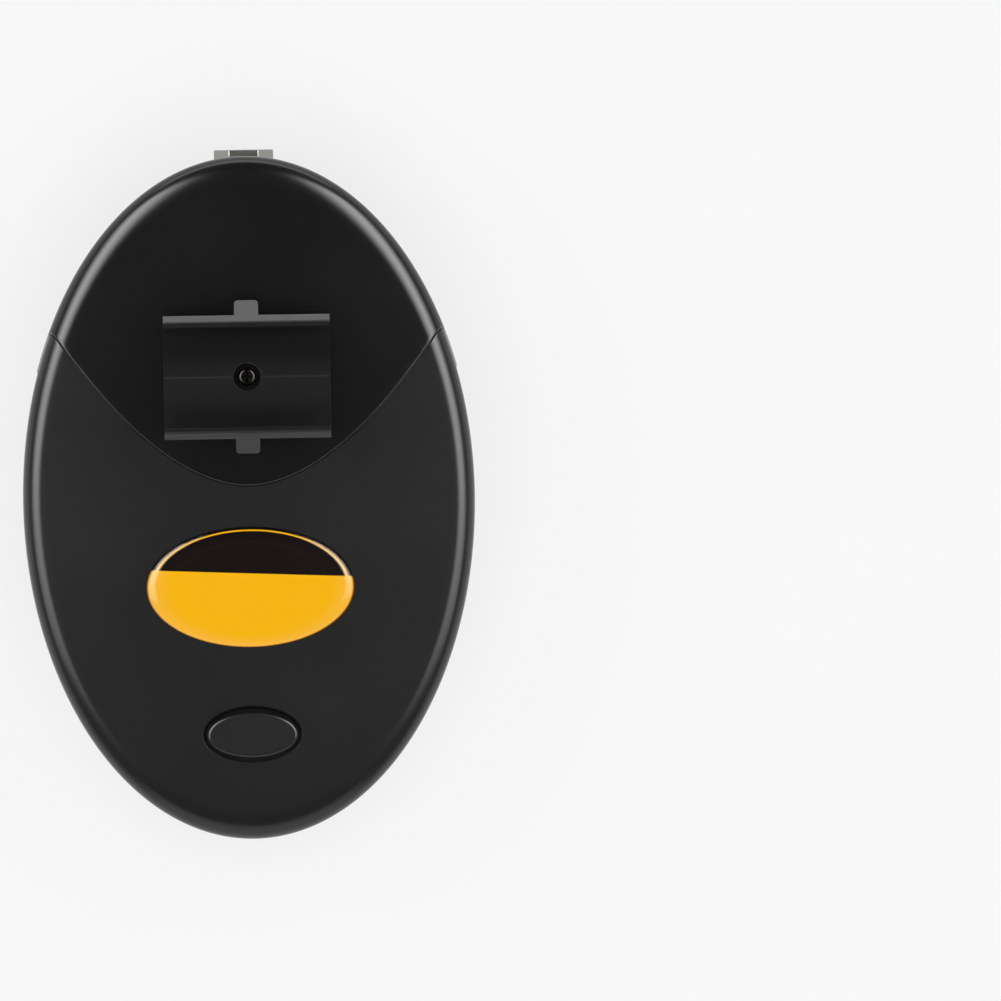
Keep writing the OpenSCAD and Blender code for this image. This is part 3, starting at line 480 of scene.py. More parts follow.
up = tree.add("ShaderNodeCombineXYZ", {}, {"Z": 1.0})
walls = tree.add("GeometryNodeExtrudeMesh", {}, {"Mesh": sheet, "Offset": up, "Individual": False})
back = tree.add("GeometryNodeFlipFaces", {}, {"Mesh": sheet})
slab = tree.add("GeometryNodeJoinGeometry")
for part in (walls, back):
    tree.tree.links.new(part.socket, slab.socket.node.inputs[0])
closed = tree.add("GeometryNodeMergeByDistance", {}, {"Geometry": slab, "Distance": 1e-5})
lifted = tree.add("GeometryNodeSetPosition", {}, {"Geometry": sheet, "Offset": up})
blank = tree.add(
    "GeometryNodeSwitch",
    {"input_type": "GEOMETRY"},
    {"Switch": given.out("Hollow"), "False": lifted, "True": closed},
)

place = tree.add("ShaderNodeSeparateXYZ", {}, {0: tree.add("GeometryNodeInputPosition")})
across, along = place.out("X"), place.out("Y")
outside = place.out("Z") > 0.5
eased = tree.add(
    "GeometryNodeInputNamedAttribute", {"data_type": "FLOAT"}, {"Name": "eased"}
).out("Attribute")
skin_in = eased - given.out("Proud")
inset = given.out("Wall") + outside * (skin_in - given.out("Wall"))

# the flat sheet's radius runs over the crown from 0 to 1, the rim to 2 and the side to 3
spread = (across * across + along * along) ** 0.5
turn = along.maths("ARCTAN2", along, across)
core = half_width - rim_radius
crown = given.out("Crown")
dome = (half_width * half_width + crown * crown) / (2 * crown)
reach = dome - rim_radius
low = given.out("Height") - dome
rim_z = low + (reach * reach - core * core) ** 0.5
tangent = (core / reach).maths("ARCCOSINE", core / reach)
on_crown = spread < 1.0
out_crown = spread * core * (dome - inset) / reach
rim_left = 2.0 - spread
rim_left = rim_left.maths("MINIMUM", rim_left.maths("MAXIMUM", rim_left, 0.0), 1.0)
bend = tangent * rim_left
out_rim = core + (rim_radius - inset) * bend.maths("COSINE", bend)
out = out_rim + on_crown * (out_crown - out_rim)
dome_in = dome - inset
z_crown = low + (dome_in * dome_in - out_crown * out_crown) ** 0.5
z_rim = rim_z + (rim_radius - inset) * bend.maths("SINE", bend)
stretch = (half_length - inset) / (half_width - inset)
y_formed = stretch * out * turn.maths("SINE", turn)
below_rim = (spread - 2.0).maths("MAXIMUM", spread - 2.0, 0.0)
down = below_rim * (rim_z + slope * y_formed - given.out("Parting"))
z_formed = z_rim + on_crown * (z_crown - z_rim) - down + slope * y_formed
formed_at = tree.add(
    "ShaderNodeCombineXYZ",
    {},
    {"X": out * turn.maths("COSINE", turn), "Y": y_formed, "Z": z_formed},
)
formed = tree.add("GeometryNodeSetPosition", {}, {"Geometry": blank, "Position": formed_at})
end_tree(tree, formed, given.out("Material"))


def flat_sheet():
    """The shells' sheet before forming: rings of faces round a middle point."""
    radii = [i / CROWN_RINGS for i in range(1, CROWN_RINGS + 1)]
    radii += [1 + i / RIM_RINGS for i in range(1, RIM_RINGS + 1)]
    radii += [2 + i / SIDE_RINGS for i in range(1, SIDE_RINGS)] + FOOT_RINGS
    points = [(0.0, 0.0, 0.0)]
    for radius in radii:
        for i in range(PLAN_SPOKES):
            angle = math.tau * i / PLAN_SPOKES
            points.append((radius * math.cos(angle), radius * math.sin(angle), 0.0))
    faces = [(0, 1 + i, 1 + (i + 1) % PLAN_SPOKES) for i in range(PLAN_SPOKES)]
    for ring in range(len(radii) - 1):
        a, b = 1 + ring * PLAN_SPOKES, 1 + (ring + 1) * PLAN_SPOKES
        for i in range(PLAN_SPOKES):
            j = (i + 1) % PLAN_SPOKES
            faces.append((a + i, b + i, b + j, a + j))
    flat = bpy.data.meshes.new("flat_sheet")
    flat.from_pydata(points, [], faces)
    return flat


def formed_points(flat, proud):
    """Where the form puts each point of a flat sheet's outer skin."""
    trial = grown(shell_form, flat, "trial", dict(BODY, Proud=proud, Hollow=False))
    points = np.empty(len(trial.data.vertices) * 3)
    trial.data.vertices.foreach_get("co", points)
    bpy.data.objects.remove(trial)
    return points.reshape(-1, 3)


def refined(flat, proud, near):
    """Splits the faces whose formed middle is near a small opening into sixteen."""
    points = formed_points(flat, proud)
    work = bmesh.new()
    work.from_mesh(flat)
    chosen = set()
    for face in work.faces:
        middle = points[[v.index for v in face.verts]].mean(0)
        if near(middle[None])[0]:
            chosen.update(face.edges)
    bmesh.ops.subdivide_edges(work, edges=list(chosen), cuts=3, use_grid_fill=True)
    work.to_mesh(flat)
    work.free()


def cut_out(flat, proud, distance, radius):
    """Cuts a flat sheet where distance is zero, drops the part below it, and rounds the edge.

    Distance gives each formed point's distance from the line, positive where material stays.
    """
    for level in EASING_CUTS:
        values = distance(formed_points(flat, proud)) - level * radius
        values[np.abs(values) < 2e-6] = 0.0
        work = bmesh.new()
        work.from_mesh(flat)
        height = {vert: values[vert.index] for vert in work.verts}
        for edge in list(work.edges):
            a, b = edge.verts
            if height[a] * height[b] < 0:
                share = height[a] / (height[a] - height[b])
                height[bmesh.utils.edge_split(edge, a, share)[1]] = 0.0
        for face in list(work.faces):
            marks = [v for v in face.verts if height[v] == 0]
            signs = {height[v] > 0 for v in face.verts if height[v] != 0}
            if len(marks) == 2 and len(signs) == 2:
                bmesh.utils.face_split(face, marks[0], marks[1])
        if level == 0:
            gone = [f for f in work.faces if min(height[v] for v in f.verts) < 0]
            bmesh.ops.delete(work, geom=gone, context="FACES")
            loose = [v for v in work.verts if not v.link_faces]
            bmesh.ops.delete(work, geom=loose, context="VERTS")
        work.to_mesh(flat)
        work.free()


def easing(distance, radius):
    """How far the skin drops at a distance from an edge rounded to a radius."""
    inside = np.clip(radius - distance, 0, radius)
    return radius - np.sqrt(radius**2 - inside**2)


def behind_seam(points):
    """Distance of points behind the seam's middle, along the leaning cut."""
    share = np.clip(np.abs(points[:, 0]) / SEAM_END_X, 0, 1)
    back = points[:, 1] - SEAM_FRONT_Y
    up = points[:, 2] - BODY["Height"]
    level = math.cos(SEAM_LEAN) * back - math.sin(SEAM_LEAN) * up
    steepness = SEAM_RISE * SEAM_POWER / SEAM_END_X * share ** (SEAM_POWER - 1)
    return (level - SEAM_RISE * share**SEAM_POWER) / np.hypot(1, steepness)


def outside_oval(points, middle, radii):
    """Distance of points outside an upright oval, in plan."""
    offset = points[:, :2] - np.array(middle)
    scaled = offset / np.array(radii)
    size = np.maximum(np.hypot(scaled[:, 0], scaled[:, 1]), 1e-9)
    fall = np.hypot(scaled[:, 0] / radii[0], scaled[:, 1] / radii[1]) / size
    return (size - 1) / np.maximum(fall, 1e-9)


def outside_inlet(points):
    """Distance of points on the rear wall from the round flat under the inlet's nut."""
    away = np.hypot(points[:, 0], points[:, 2] - INLET_Z) - INLET_SEAT_RADIUS
    return np.where(points[:, 1] > 0, away, 1.0)


def above_parting(points):
    return points[:, 2] - BODY["Parting"]


def shell(name, proud, material, cuts, tight):
    """One upper shell: the flat sheet, cut along its lines, formed and thickened.

    Cuts are pairs of a distance and an edge radius. Tight says where faces are made finer.
    """
    flat = flat_sheet()
    for near in tight:
        refined(flat, proud, near)
    for distance, radius in cuts:
        cut_out(flat, proud, distance, radius)
    points = formed_points(flat, proud)
    edges = cuts + [(above_parting, EDGE_RADIUS)]
    eased = np.max([easing(distance(points), radius) for distance, radius in edges], axis=0)
    flat.attributes.new("eased", "FLOAT", "POINT").data.foreach_set("value", eased)
    values = dict(BODY, Proud=proud, Hollow=True, Material=material)
    return shaded(grown(shell_form, flat, name, values), 40)


def button_edge(points):
    return outside_oval(points, (0, OPENING_Y), BUTTON_OPENING)


def turret_edge(points):
    return outside_oval(points, (0, DRIVE_Y), (TURRET_RADIUS - 1 * MM,) * 2)


# the front housing's paler black is painted light, for the brighter look of its forward slope
front_housing = shell(
    "front_shell",
    0.0,
    moulded_grey,
    [(lambda p: -SEAM_GAP / 2 - behind_seam(p), CRISP_RADIUS), (button_edge, EDGE_RADIUS)],
    [lambda p: np.abs(button_edge(p)) < 4 * MM],
)
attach(front_housing, "housing")
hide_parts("front_housing")

rear_cover = shell(
    "rear_shell",
    COVER_STEP,
    moulded_black,
    [
        (lambda p: behind_seam(p) - SEAM_GAP / 2, EDGE_RADIUS),
        (turret_edge, EDGE_RADIUS),
        (outside_inlet, EDGE_RADIUS),
    ],
    [lambda p: (np.abs(outside_inlet(p)) < 4 * MM) | (np.abs(turret_edge(p)) < 3 * MM)],
)
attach(rear_cover, "housing")
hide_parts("rear_cover")


def loft(name, rings, closed=False):
    """A skin through rings of points. A ring of one point is a pole."""
    skin = bmesh.new()
    made = [[skin.verts.new(point) for point in ring] for ring in rings]
    pairs = list(zip(made, made[1:]))
    if closed:
        pairs.append((made[-1], made[0]))
    for low, high in pairs:
        count = max(len(low), len(high))
        for i in range(count):
            j = (i + 1) % count
            corners = [low[i % len(low)], low[j % len(low)], high[j % len(high)], high[i % len(high)]]
            skin.faces.new(list(dict.fromkeys(corners)))
    bmesh.ops.recalc_face_normals(skin, faces=skin.faces)
    mesh = bpy.data.meshes.new(name)
    skin.to_mesh(mesh)
    skin.free()
    return mesh


def oval_ring(radii, z, middle=(0, 0), count=96):
    """A ring of points on an upright oval. Its height is a number, or goes by x and y."""
    ring = []
    for i in range(count):
        angle = math.tau * i / count
        x = middle[0] + radii[0] * math.cos(angle)
        y = middle[1] + radii[1] * math.sin(angle)
        ring.append((x, y, z(x, y) if callable(z) else z))
    return ring


def lathe_rings(profile, middle=(0, 0), count=64):
    """Rings for a turned piece, from its profile of (radius, height) points."""
    rings = []
    for radius, z in profile:
        if radius == 0:
            rings.append([(middle[0], middle[1], z)])
        else:
            rings.append(oval_ring((radius, radius), z, middle, count))
    return rings


def fitted(name, mesh, material, body, stands_for=()):
    """A finished piece: smooth, in its material, riding on its body."""
    piece = shaded(mesh_object(name, mesh))
    piece.data.materials.clear()
    piece.data.materials.append(material)
    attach(piece, body)
    if stands_for:
        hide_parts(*stands_for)
    return piece


COLLAR_RIM_Z = 44.9 * MM           # at the button's middle
COLLAR_FOOT_Z = 41.5 * MM
COLLAR_OUTSIDE = (14.7 * MM, 8.9 * MM)
TURRET_FOOT_Z = 52 * MM
TURRET_TOP_Z = 58.4 * MM
INLET_BORE = 5.5 * MM
INLET_SEAT_FOOT_Y = 87.6 * MM


def collar_top(x, y):
    """Height of the collar's rim, inside the housing's wall."""
    return COLLAR_RIM_Z + BODY["Slope"] * (y - BUTTON_Y)


collar_rings = []
for radii, rim in (
    (BUTTON_OPENING, collar_top),
    (BUTTON_OPENING, COLLAR_FOOT_Z),
    (COLLAR_OUTSIDE, COLLAR_FOOT_Z),
    (COLLAR_OUTSIDE, collar_top),
):
    collar_rings.append(oval_ring(radii, rim, (0, OPENING_Y)))
button_collar = loft("button_collar", collar_rings, closed=True)
fitted("button_collar", button_collar, moulded_grey, "housing")

turret = [
    (TURRET_BORE, TURRET_FOOT_Z),
    (TURRET_BORE, TURRET_TOP_Z - 0.4 * MM),
    (TURRET_BORE + 0.3 * MM, TURRET_TOP_Z - 0.05 * MM),
    (TURRET_RADIUS - 0.35 * MM, TURRET_TOP_Z),
    (TURRET_RADIUS, TURRET_TOP_Z - 0.4 * MM),
    (TURRET_RADIUS, TURRET_FOOT_Z),
]
turret_ring = loft("turret_ring", lathe_rings(turret, (0, DRIVE_Y), 96), closed=True)
fitted("turret_ring", turret_ring, moulded_black, "housing")

seat_outside = INLET_SEAT_RADIUS + 0.2 * MM
seat = [
    (INLET_BORE, INLET_SEAT_FOOT_Y),
    (INLET_BORE, INLET_SEAT_Y),
    (seat_outside, INLET_SEAT_Y),
    (seat_outside, INLET_SEAT_FOOT_Y),
]
inlet_seat = loft("inlet_seat", lathe_rings(seat, (0, 0), 72), closed=True)
inlet_seat.transform(Matrix.Translation((0, 0, INLET_Z)) @ Matrix.Rotation(math.radians(-90), 4, "X"))
fitted("inlet_seat", inlet_seat, moulded_black, "housing")

# ---- Feet and body screws ----
# Four clear bluish PVC suction cups pressed into round seats of the base. Each is held by a
# steel cross-head screw in its middle, which also clamps the shells to the base.
FOOT_SPREAD = (68 * MM, 113 * MM)
FOOT_MIDDLE = (0.0, -0.5 * MM, 0.0)
HEAD_RADIUS = 2.65 * MM

kinds = {"Spread X": "Float", "Spread Y": "Float", "Middle": "Vector", "Material": "Material"}
four_places, tree, given = geometry_tree("four_places", kinds)
corners = tree.add(
    "GeometryNodeMeshGrid",
    {},
    {"Size X": given.out("Spread X"), "Size Y": given.out("Spread Y"), "Vertices X": 2, "Vertices Y": 2},
)
moved = tree.add("GeometryNodeSetPosition", {}, {"Geometry": corners, "Offset": given.out("Middle")})
copies = tree.add(
    "GeometryNodeInstanceOnPoints", {}, {"Points": moved, "Instance": given.out("Mesh")}
)
end_tree(tree, copies, given.out("Material"))


def at_feet(name, mesh, material, stands_for=()):
    """A piece repeated at the four feet."""
    values = {
        "Spread X": FOOT_SPREAD[0],
        "Spread Y": FOOT_SPREAD[1],
        "Middle": FOOT_MIDDLE,
        "Material": material,
    }
    piece = shaded(grown(four_places, mesh, name, values))
    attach(piece, "housing")
    if stands_for:
        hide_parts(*stands_for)
    return piece


clear_vinyl, tree = material_tree("clear_vinyl")
where = tree.add("ShaderNodeTexCoord").out("Object")
cloud = tree.add("ShaderNodeTexNoise", {}, {"Vector": where, "Scale": 180.0, "Detail": 3.0})
tint = tree.add(
    "ShaderNodeValToRGB",
    {"stops": [(0.3, (0.70, 0.77, 0.83, 1)), (0.75, (0.80, 0.86, 0.90, 1))]},
    {"Fac": cloud},
)
ripple = tree.add("ShaderNodeBump", {}, {"Height": cloud, "Distance": 2e-5, "Strength": 0.5})
vinyl = tree.add(
    "ShaderNodeBsdfPrincipled",
    {},
    {
        "Base Color": tint,
        "Roughness": 0.1 + cloud * 0.08,
        "Normal": ripple,
        "IOR": 1.47,
        "Transmission Weight": 0.3,
    },
)
tree.add("ShaderNodeOutputMaterial", {}, {"Surface": vinyl})

# a cup's outline in millimetres: neck, flared skirt, lip, hollow and screw seat
cup = [(1.6, 4.98), (4.3, 4.98), (4.5, 4.8), (4.5, 3.1)]
cup += [(4.65, 2.75), (5.1, 2.2), (5.75, 1.4), (6.2, 0.85)]
cup += [(6.38, 0.5), (6.4, 0.25), (6.33, 0.08), (6.2, 0.0), (6.0, 0.06)]
cup += [(5.7, 0.22), (5.1, 0.5), (4.4, 0.8), (3.7, 1.02), (3.15, 1.12)]
cup += [(2.98, 1.25), (2.93, 1.5), (2.93, 2.2), (1.6, 2.2)]
cup_mesh = loft("cup", lathe_rings([(r * MM, z * MM) for r, z in cup]), closed=True)
at_feet("suction_cups", cup_mesh, clear_vinyl, ["suction_cups"])
ridge = [(7.3, 5.2), (7.3, 4.75), (7.4, 4.65), (7.6, 4.65), (7.7, 4.75), (7.7, 5.2)]
ridge_mesh = loft("ridge", lathe_rings([(r * MM, z * MM) for r, z in ridge]), closed=True)
at_feet("seat_ridges", ridge_mesh, moulded_grey)


def pan_screw(name, head, head_height, shank, length, recess=0.62):
    """A cross-head pan screw with its seat at zero, its head up and its shank down."""
    profile = [(0, -length), (shank * 0.3, -length), (shank / 2, -length + shank * 0.2)]
    turns = int((length - shank) / (shank * 0.17))
    for i in range(turns):
        z = -length + shank * 0.35 + i * shank * 0.17
        profile += [(shank * 0.5, z), (shank * 0.44, z + shank * 0.08)]
    profile += [(shank / 2, -shank * 0.3), (shank / 2, 0), (head * 0.47, 0), (head * 0.5, head * 0.03)]
    for angle in (8, 16, 26, 38, 52, 66, 78):
        turn = math.radians(angle)
        profile.append((
            head * (0.3 + 0.2 * math.cos(turn)),
            head_height * (0.36 + 0.64 * math.sin(turn)),
        ))
    profile += [(head * 0.27, head_height), (0, head_height)]
    blank = mesh_object(name + "_blank", loft(name, lathe_rings(profile, (0, 0), 48)))
    tools = []
    for angle in (0, 90):
        wide, deep, thick = head * recess / 2, head_height * 0.72, head * 0.062
        rings = []
        for share, z in ((1.25, head_height * 1.3), (1.0, head_height), (0.42, head_height - deep)):
            half = (wide * share, thick * (0.75 + 0.25 * share))
            ring = [(sx * half[0], sy * half[1], z) for sx, sy in ((1, 1), (-1, 1), (-1, -1), (1, -1))]
            rings.append(ring)
        cutter = loft("cutter", [[(0, 0, head_height * 1.3)]] + rings + [[(0, 0, head_height - deep)]])
        cutter.transform(Matrix.Rotation(math.radians(angle), 4, "Z"))
        tool = mesh_object("cutter", cutter)
        tools.append(tool)
        cut = blank.modifiers.new("cross", "BOOLEAN")
        cut.object = tool
        cut.solver = "EXACT"
    bpy.context.view_layer.update()
    depsgraph = bpy.context.evaluated_depsgraph_get()
    made = bpy.data.meshes.new_from_object(blank.evaluated_get(depsgraph))
    for old in tools + [blank]:
        bpy.data.objects.remove(old)
    return made


def turned_metal(name, colour, roughness, scale=600.0, wear=0.25):
    """Plated or turned metal: a fine grain in its gloss and slightly duller patches."""
    material, tree = material_tree(name)
    where = tree.add("ShaderNodeTexCoord").out("Object")
    grain = tree.add("ShaderNodeTexNoise", {}, {"Vector": where, "Scale": scale, "Detail": 3.0})
    patch = tree.add("ShaderNodeTexNoise", {}, {"Vector": where, "Scale": 60.0, "Detail": 2.0})
    darker = tuple(c * (1 - wear) for c in colour)
    paint = mixed(patch * 0.8 + grain * 0.2, (*colour, 1), (*darker, 1))
    relief = tree.add("ShaderNodeBump", {}, {"Height": grain, "Distance": 3e-6, "Strength": 0.5})
    surface = tree.add(
        "ShaderNodeBsdfPrincipled",
        {},
        {
            "Base Color": paint,
            "Roughness": roughness + (grain - 0.5) * 0.1 + (patch - 0.5) * 0.08,
            "Normal": relief,
            "Metallic": 1.0,
        },
    )
    tree.add("ShaderNodeOutputMaterial", {}, {"Surface": surface})
    return material


plated_steel = turned_metal("plated_steel", (0.62, 0.61, 0.59), 0.24)
head_down = Matrix.Translation((0, 0, 2.2 * MM)) @ Matrix.Rotation(math.pi, 4, "X")
body_screw = pan_screw("body_screw", 2 * HEAD_RADIUS, 1.8 * MM, 3 * MM, 19.7 * MM)
body_screw.transform(head_down)
at_feet("housing_screws", body_screw, plated_steel, ["housing_screws"])

# ---- Badge ----
# An oval printed label, amber below and black-brown above with a thin amber arc, under a
# clear domed resin that is cast on it.
BADGE_Y = -24 * MM
LABEL_RADII = (28.0 * MM, 16.25 * MM)
ARC_RADII = (26.4 * MM, 15.25 * MM)
FIELDS_MEET = 3.7                  # millimetres behind the label's middle
FIELDS_TILT = 0.043
RESIN_RADII = (27.7 * MM, 15.95 * MM)
RESIN_CROWN = 0.1 * MM
RESIN_BOTTOM = 0.22 * MM
# the resin's edge, as millimetres in from its outline and up from the label
RESIN_EDGE = [(0, -0.08), (0, 0.08), (0.03, 0.22), (0.1, 0.38), (0.25, 0.5)]
RESIN_EDGE += [(0.5, 0.62), (0.8, 0.75), (1.1, 0.87), (1.4, 0.97), (1.7, 1.05)]
RESIN_EDGE += [(2.2, 1.13), (3.0, 1.21), (4.2, 1.27), (5.6, 1.29)]


def top_height(x, y):
    """Height of the front housing's top face at a place in plan."""
    stretch = BODY["Half Length"] / BODY["Half Width"]
    ball = (BODY["Half Width"] ** 2 + BODY["Crown"] ** 2) / (2 * BODY["Crown"])
    out = math.hypot(x, y / stretch)
    return BODY["Height"] - ball + math.sqrt(ball**2 - out**2) + BODY["Slope"] * y


def badge_ring(radii, share, rise):
    """A ring of points of the badge, at a share of its radii and a rise over the housing."""
    size = (radii[0] * share, radii[1] * share)
    if share == 0:
        return [(0, BADGE_Y, top_height(0, BADGE_Y) + rise)]
    return oval_ring(size, lambda x, y: top_height(x, y) + rise, (0, BADGE_Y), 128)


label_top = [(0.3, 0.3), (0.6, 0.3), (0.85, 0.3), (0.97, 0.3), (0.995, 0.29), (1.0, 0.26)]
label_rings = [badge_ring(LABEL_RADII, 0, 0.3 * MM)]
label_rings += [badge_ring(LABEL_RADII, share, rise * MM) for share, rise in label_top]
label_rings += [badge_ring(LABEL_RADII, 1.0, 0.0), badge_ring(LABEL_RADII, 0, 0.0)]

printed_label, tree = material_tree("printed_label")
place = tree.add("ShaderNodeSeparateXYZ", {}, {0: tree.add("ShaderNodeTexCoord").out("Object")})
x_mm = place.out("X") / MM
y_mm = place.out("Y") / MM - BADGE_Y / MM
u, v = x_mm / (LABEL_RADII[0] / MM), y_mm / (LABEL_RADII[1] / MM)
size = (u * u + v * v) ** 0.5
upper = y_mm + x_mm * FIELDS_TILT - FIELDS_MEET > 0.0
arc_u, arc_v = x_mm / (ARC_RADII[0] / MM), y_mm / (ARC_RADII[1] / MM)
arc_size = (arc_u * arc_u + arc_v * arc_v) ** 0.5
arc = soft_step(arc_size, 0.982, 0.988) * (1.0 - soft_step(arc_size, 1.008, 1.014))
inner_oval = soft_step(size, 0.74, 0.745) * (1.0 - soft_step(size, 0.76, 0.765))
# rim marks a thin painted shade along the label's outline, which shows on the amber below
rim = soft_step(size, 0.985, 0.992)
glow = soft_step(size, 0.8, 0.97) * (1.0 - upper)
ink_grain = tree.add(
    "ShaderNodeTexNoise",
    {},
    {"Vector": tree.add("ShaderNodeTexCoord").out("Object"), "Scale": 1400.0, "Detail": 2.0},
)

AMBER = (0.97, 0.49, 0.004, 1)
AMBER_LIGHT = (0.97, 0.50, 0.06, 1)
AMBER_SPECK = (0.93, 0.455, 0.004, 1)
# a dark amber for the painted shade along the label's lower edge
AMBER_EDGE_SHADE = (0.30, 0.10, 0.008, 1)
INK = (0.0068, 0.0036, 0.0034, 1)
INK_LINE = (0.016, 0.0095, 0.0085, 1)
amber = mixed(glow * 0.8, mixed(ink_grain * 0.5, AMBER, AMBER_SPECK), AMBER_LIGHT)
dark = mixed(arc, mixed(inner_oval * 0.7, INK, INK_LINE), AMBER)
fields = mixed(upper, amber, dark)
# the print, with the amber's outline darkened by a painted shade
print_and_edge_shade = mixed(rim, fields, mixed(upper, AMBER_EDGE_SHADE, INK))
print_surface = tree.add(
    "ShaderNodeBsdfPrincipled",
    {},
    {"Base Color": print_and_edge_shade, "Roughness": 0.42 + ink_grain * 0.1, "Specular IOR Level": 0.0},
)
tree.add("ShaderNodeOutputMaterial", {}, {"Surface": print_surface})
badge_label = loft("badge_label", label_rings)
fitted("badge_label", badge_label, printed_label, "housing", ["badge_plate"])

clear_resin, tree = material_tree("clear_resin")
where = tree.add("ShaderNodeTexCoord").out("Object")
swell = tree.add("ShaderNodeTexNoise", {}, {"Vector": where, "Scale": 45.0, "Detail": 1.0})
ripple = tree.add("ShaderNodeBump", {}, {"Height": swell, "Distance": 2e-5, "Strength": 0.3})
glass = tree.add(
    "ShaderNodeBsdfPrincipled",
    {},
    {
        "Base Color": (1.0, 0.995, 0.98, 1),
        "Roughness": 0.02 + swell * 0.03,
        "IOR": 1.45,
        "Transmission Weight": 1.0,
        "Normal": ripple,
    },
)
through = tree.add("ShaderNodeBsdfTransparent", {}, {"Color": (0.97, 0.965, 0.95, 1)})
path = tree.add("ShaderNodeLightPath")
light_passes = path.out("Is Shadow Ray").maths(
    "MAXIMUM", path.out("Is Shadow Ray"), path.out("Is Diffuse Ray")
)
tree.add(
    "ShaderNodeOutputMaterial",
    {},
    {"Surface": tree.add("ShaderNodeMixShader", {}, {0: light_passes, 1: glass, 2: through})},
)

resin_rings = [badge_ring(RESIN_RADII, share, RESIN_BOTTOM) for share in (0, 0.5, 0.9)]
for inset, rise in RESIN_EDGE:
    flat_oval = (RESIN_RADII[0] - inset * MM, RESIN_RADII[1] - inset * MM)
    resin_rings.append(badge_ring(flat_oval, 1, (0.3 + rise) * MM))
for share in (0.84, 0.68, 0.52, 0.36, 0.2, 0):
    crowned = (0.3 + rise) * MM + RESIN_CROWN * (1 - share**2)
    resin_rings.append(badge_ring(flat_oval, share, crowned))
badge_resin = loft("badge_resin", resin_rings)
fitted("badge_resin", badge_resin, clear_resin, "housing", ["badge_dome"])

# ---- Push button ----
# An oval key moulded in black, with a flat sloping top and a rounded edge. Its flange
# keeps it in the housing, and its stem rests on the switch's plunger and a spring.
BUTTON_RADII = (12.25 * MM, 6.05 * MM)
FLANGE_RADII = (14.4 * MM, 8.4 * MM)
FLANGE_FOOT = 39.5 * MM
BUTTON_BOTTOM = 40.683 * MM
BUTTON_TOP = 48.14 * MM
KEY_EDGE = 1.0 * MM


def key_ring(inset, height):
    """A ring of points of the button, its height measured down from the sloping top."""
    size = (BUTTON_RADII[0] - inset, BUTTON_RADII[1] - inset)
    middle = (0, BUTTON_Y)
    return oval_ring(size, lambda x, y: BUTTON_TOP + BODY["Slope"] * (y - BUTTON_Y) + height, middle)


stem = [(0, 39.2 * MM), (4.3 * MM, 39.2 * MM), (4.5 * MM, 39.4 * MM), (4.5 * MM, FLANGE_FOOT)]
key_rings = lathe_rings(stem, (0, BUTTON_Y), 96)
for radii, z in (
    (FLANGE_RADII, FLANGE_FOOT),
    (FLANGE_RADII, BUTTON_BOTTOM),
    (BUTTON_RADII, BUTTON_BOTTOM),
):
    key_rings.append(oval_ring(radii, z, (0, BUTTON_Y)))
for i in range(11):
    turn = math.radians(9 * i)
    inset = KEY_EDGE * (1 - math.cos(turn))
    key_rings.append(key_ring(inset, KEY_EDGE * 0.8 * (math.sin(turn) - 1)))
key_rings += [key_ring(1.2 * MM, 0.0), key_ring(3.5 * MM, 0.0), [(0, BUTTON_Y, BUTTON_TOP)]]
button_black = moulded_plastic("button_black", (0.0125, 0.0125, 0.013), 0.2)
push_button = loft("push_button", key_rings)
fitted("push_button", push_button, button_black, "button", ["push_button"])

# ---- Battery door ----
# A flat square door in the same plastic. Two hooks at its front edge and one nickel screw
# through the tongue at its rear hold it.
DOOR_SCREW_Y = 26.368 * MM

door = softened("battery_door", "battery_door", 0.25 * MM, moulded_grey)
door_screw = pan_screw("door_screw", 5.3 * MM, 1.8 * MM, 3 * MM, 7 * MM)
door_screw_at = Matrix.Translation((0, DOOR_SCREW_Y, 4.8 * MM))
door_screw.transform(door_screw_at @ Matrix.Rotation(math.pi, 4, "X"))
fitted("door_screw", door_screw, plated_steel, "door", ["door_screw"])

# ---- Cradle ----
# The saddle that holds a bottle on its side: a black moulding with a groove and a strap tab
# along each side, a dark lining in its trough, and one black screw into the carrier's hub.
CRADLE_Y = 32.7 * MM
# a paler black, painted light on the cradle's rear rail and tab
RAIL_PAINTED_LIGHT = (0.10, 0.10, 0.101, 1)
# a paler black for the painted highlight of the trough's mould line
MOULD_LINE_HIGHLIGHT = (0.016, 0.016, 0.0165, 1)


def painted_rear_rail_light(where):
    """The rear rail and tab, painted paler as painted light, for the light from behind that they catch.
    """
    back = where.tree.add("ShaderNodeSeparateXYZ", {}, {0: where}).out("Y") - CRADLE_Y
    return soft_step(back, 14.5 * MM, 15.2 * MM), RAIL_PAINTED_LIGHT


# the rear rail and tab are painted paler as painted light
cradle_plastic = moulded_plastic("cradle_plastic", (0.03, 0.03, 0.031), 0.3, marks=painted_rear_rail_light)
cradle = softened("cradle", "cradle", 0.3 * MM, cradle_plastic)


def mould_line_highlight(where):
    """The mould line along the bottom of the trough, painted paler as a painted highlight on its ridge;
    the line is not raised here.
    """
    away = where.tree.add("ShaderNodeSeparateXYZ", {}, {0: where}).out("Y") - CRADLE_Y
    away = away.maths("ABSOLUTE", away)
    return 1.0 - soft_step(away, 0.12 * MM, 0.3 * MM), MOULD_LINE_HIGHLIGHT


# the lining carries the trough's mould line as a painted highlight
lining_rubber = moulded_plastic(
    "lining_rubber",
    (0.0042, 0.0042, 0.0044),
    0.45,
    grain=0.8,
    gloss_spread=0.1,
    shine=0.12,
    marks=mould_line_highlight,
)
lining = softened("cradle_lining", "cradle_liner", 0.12 * MM, lining_rubber)
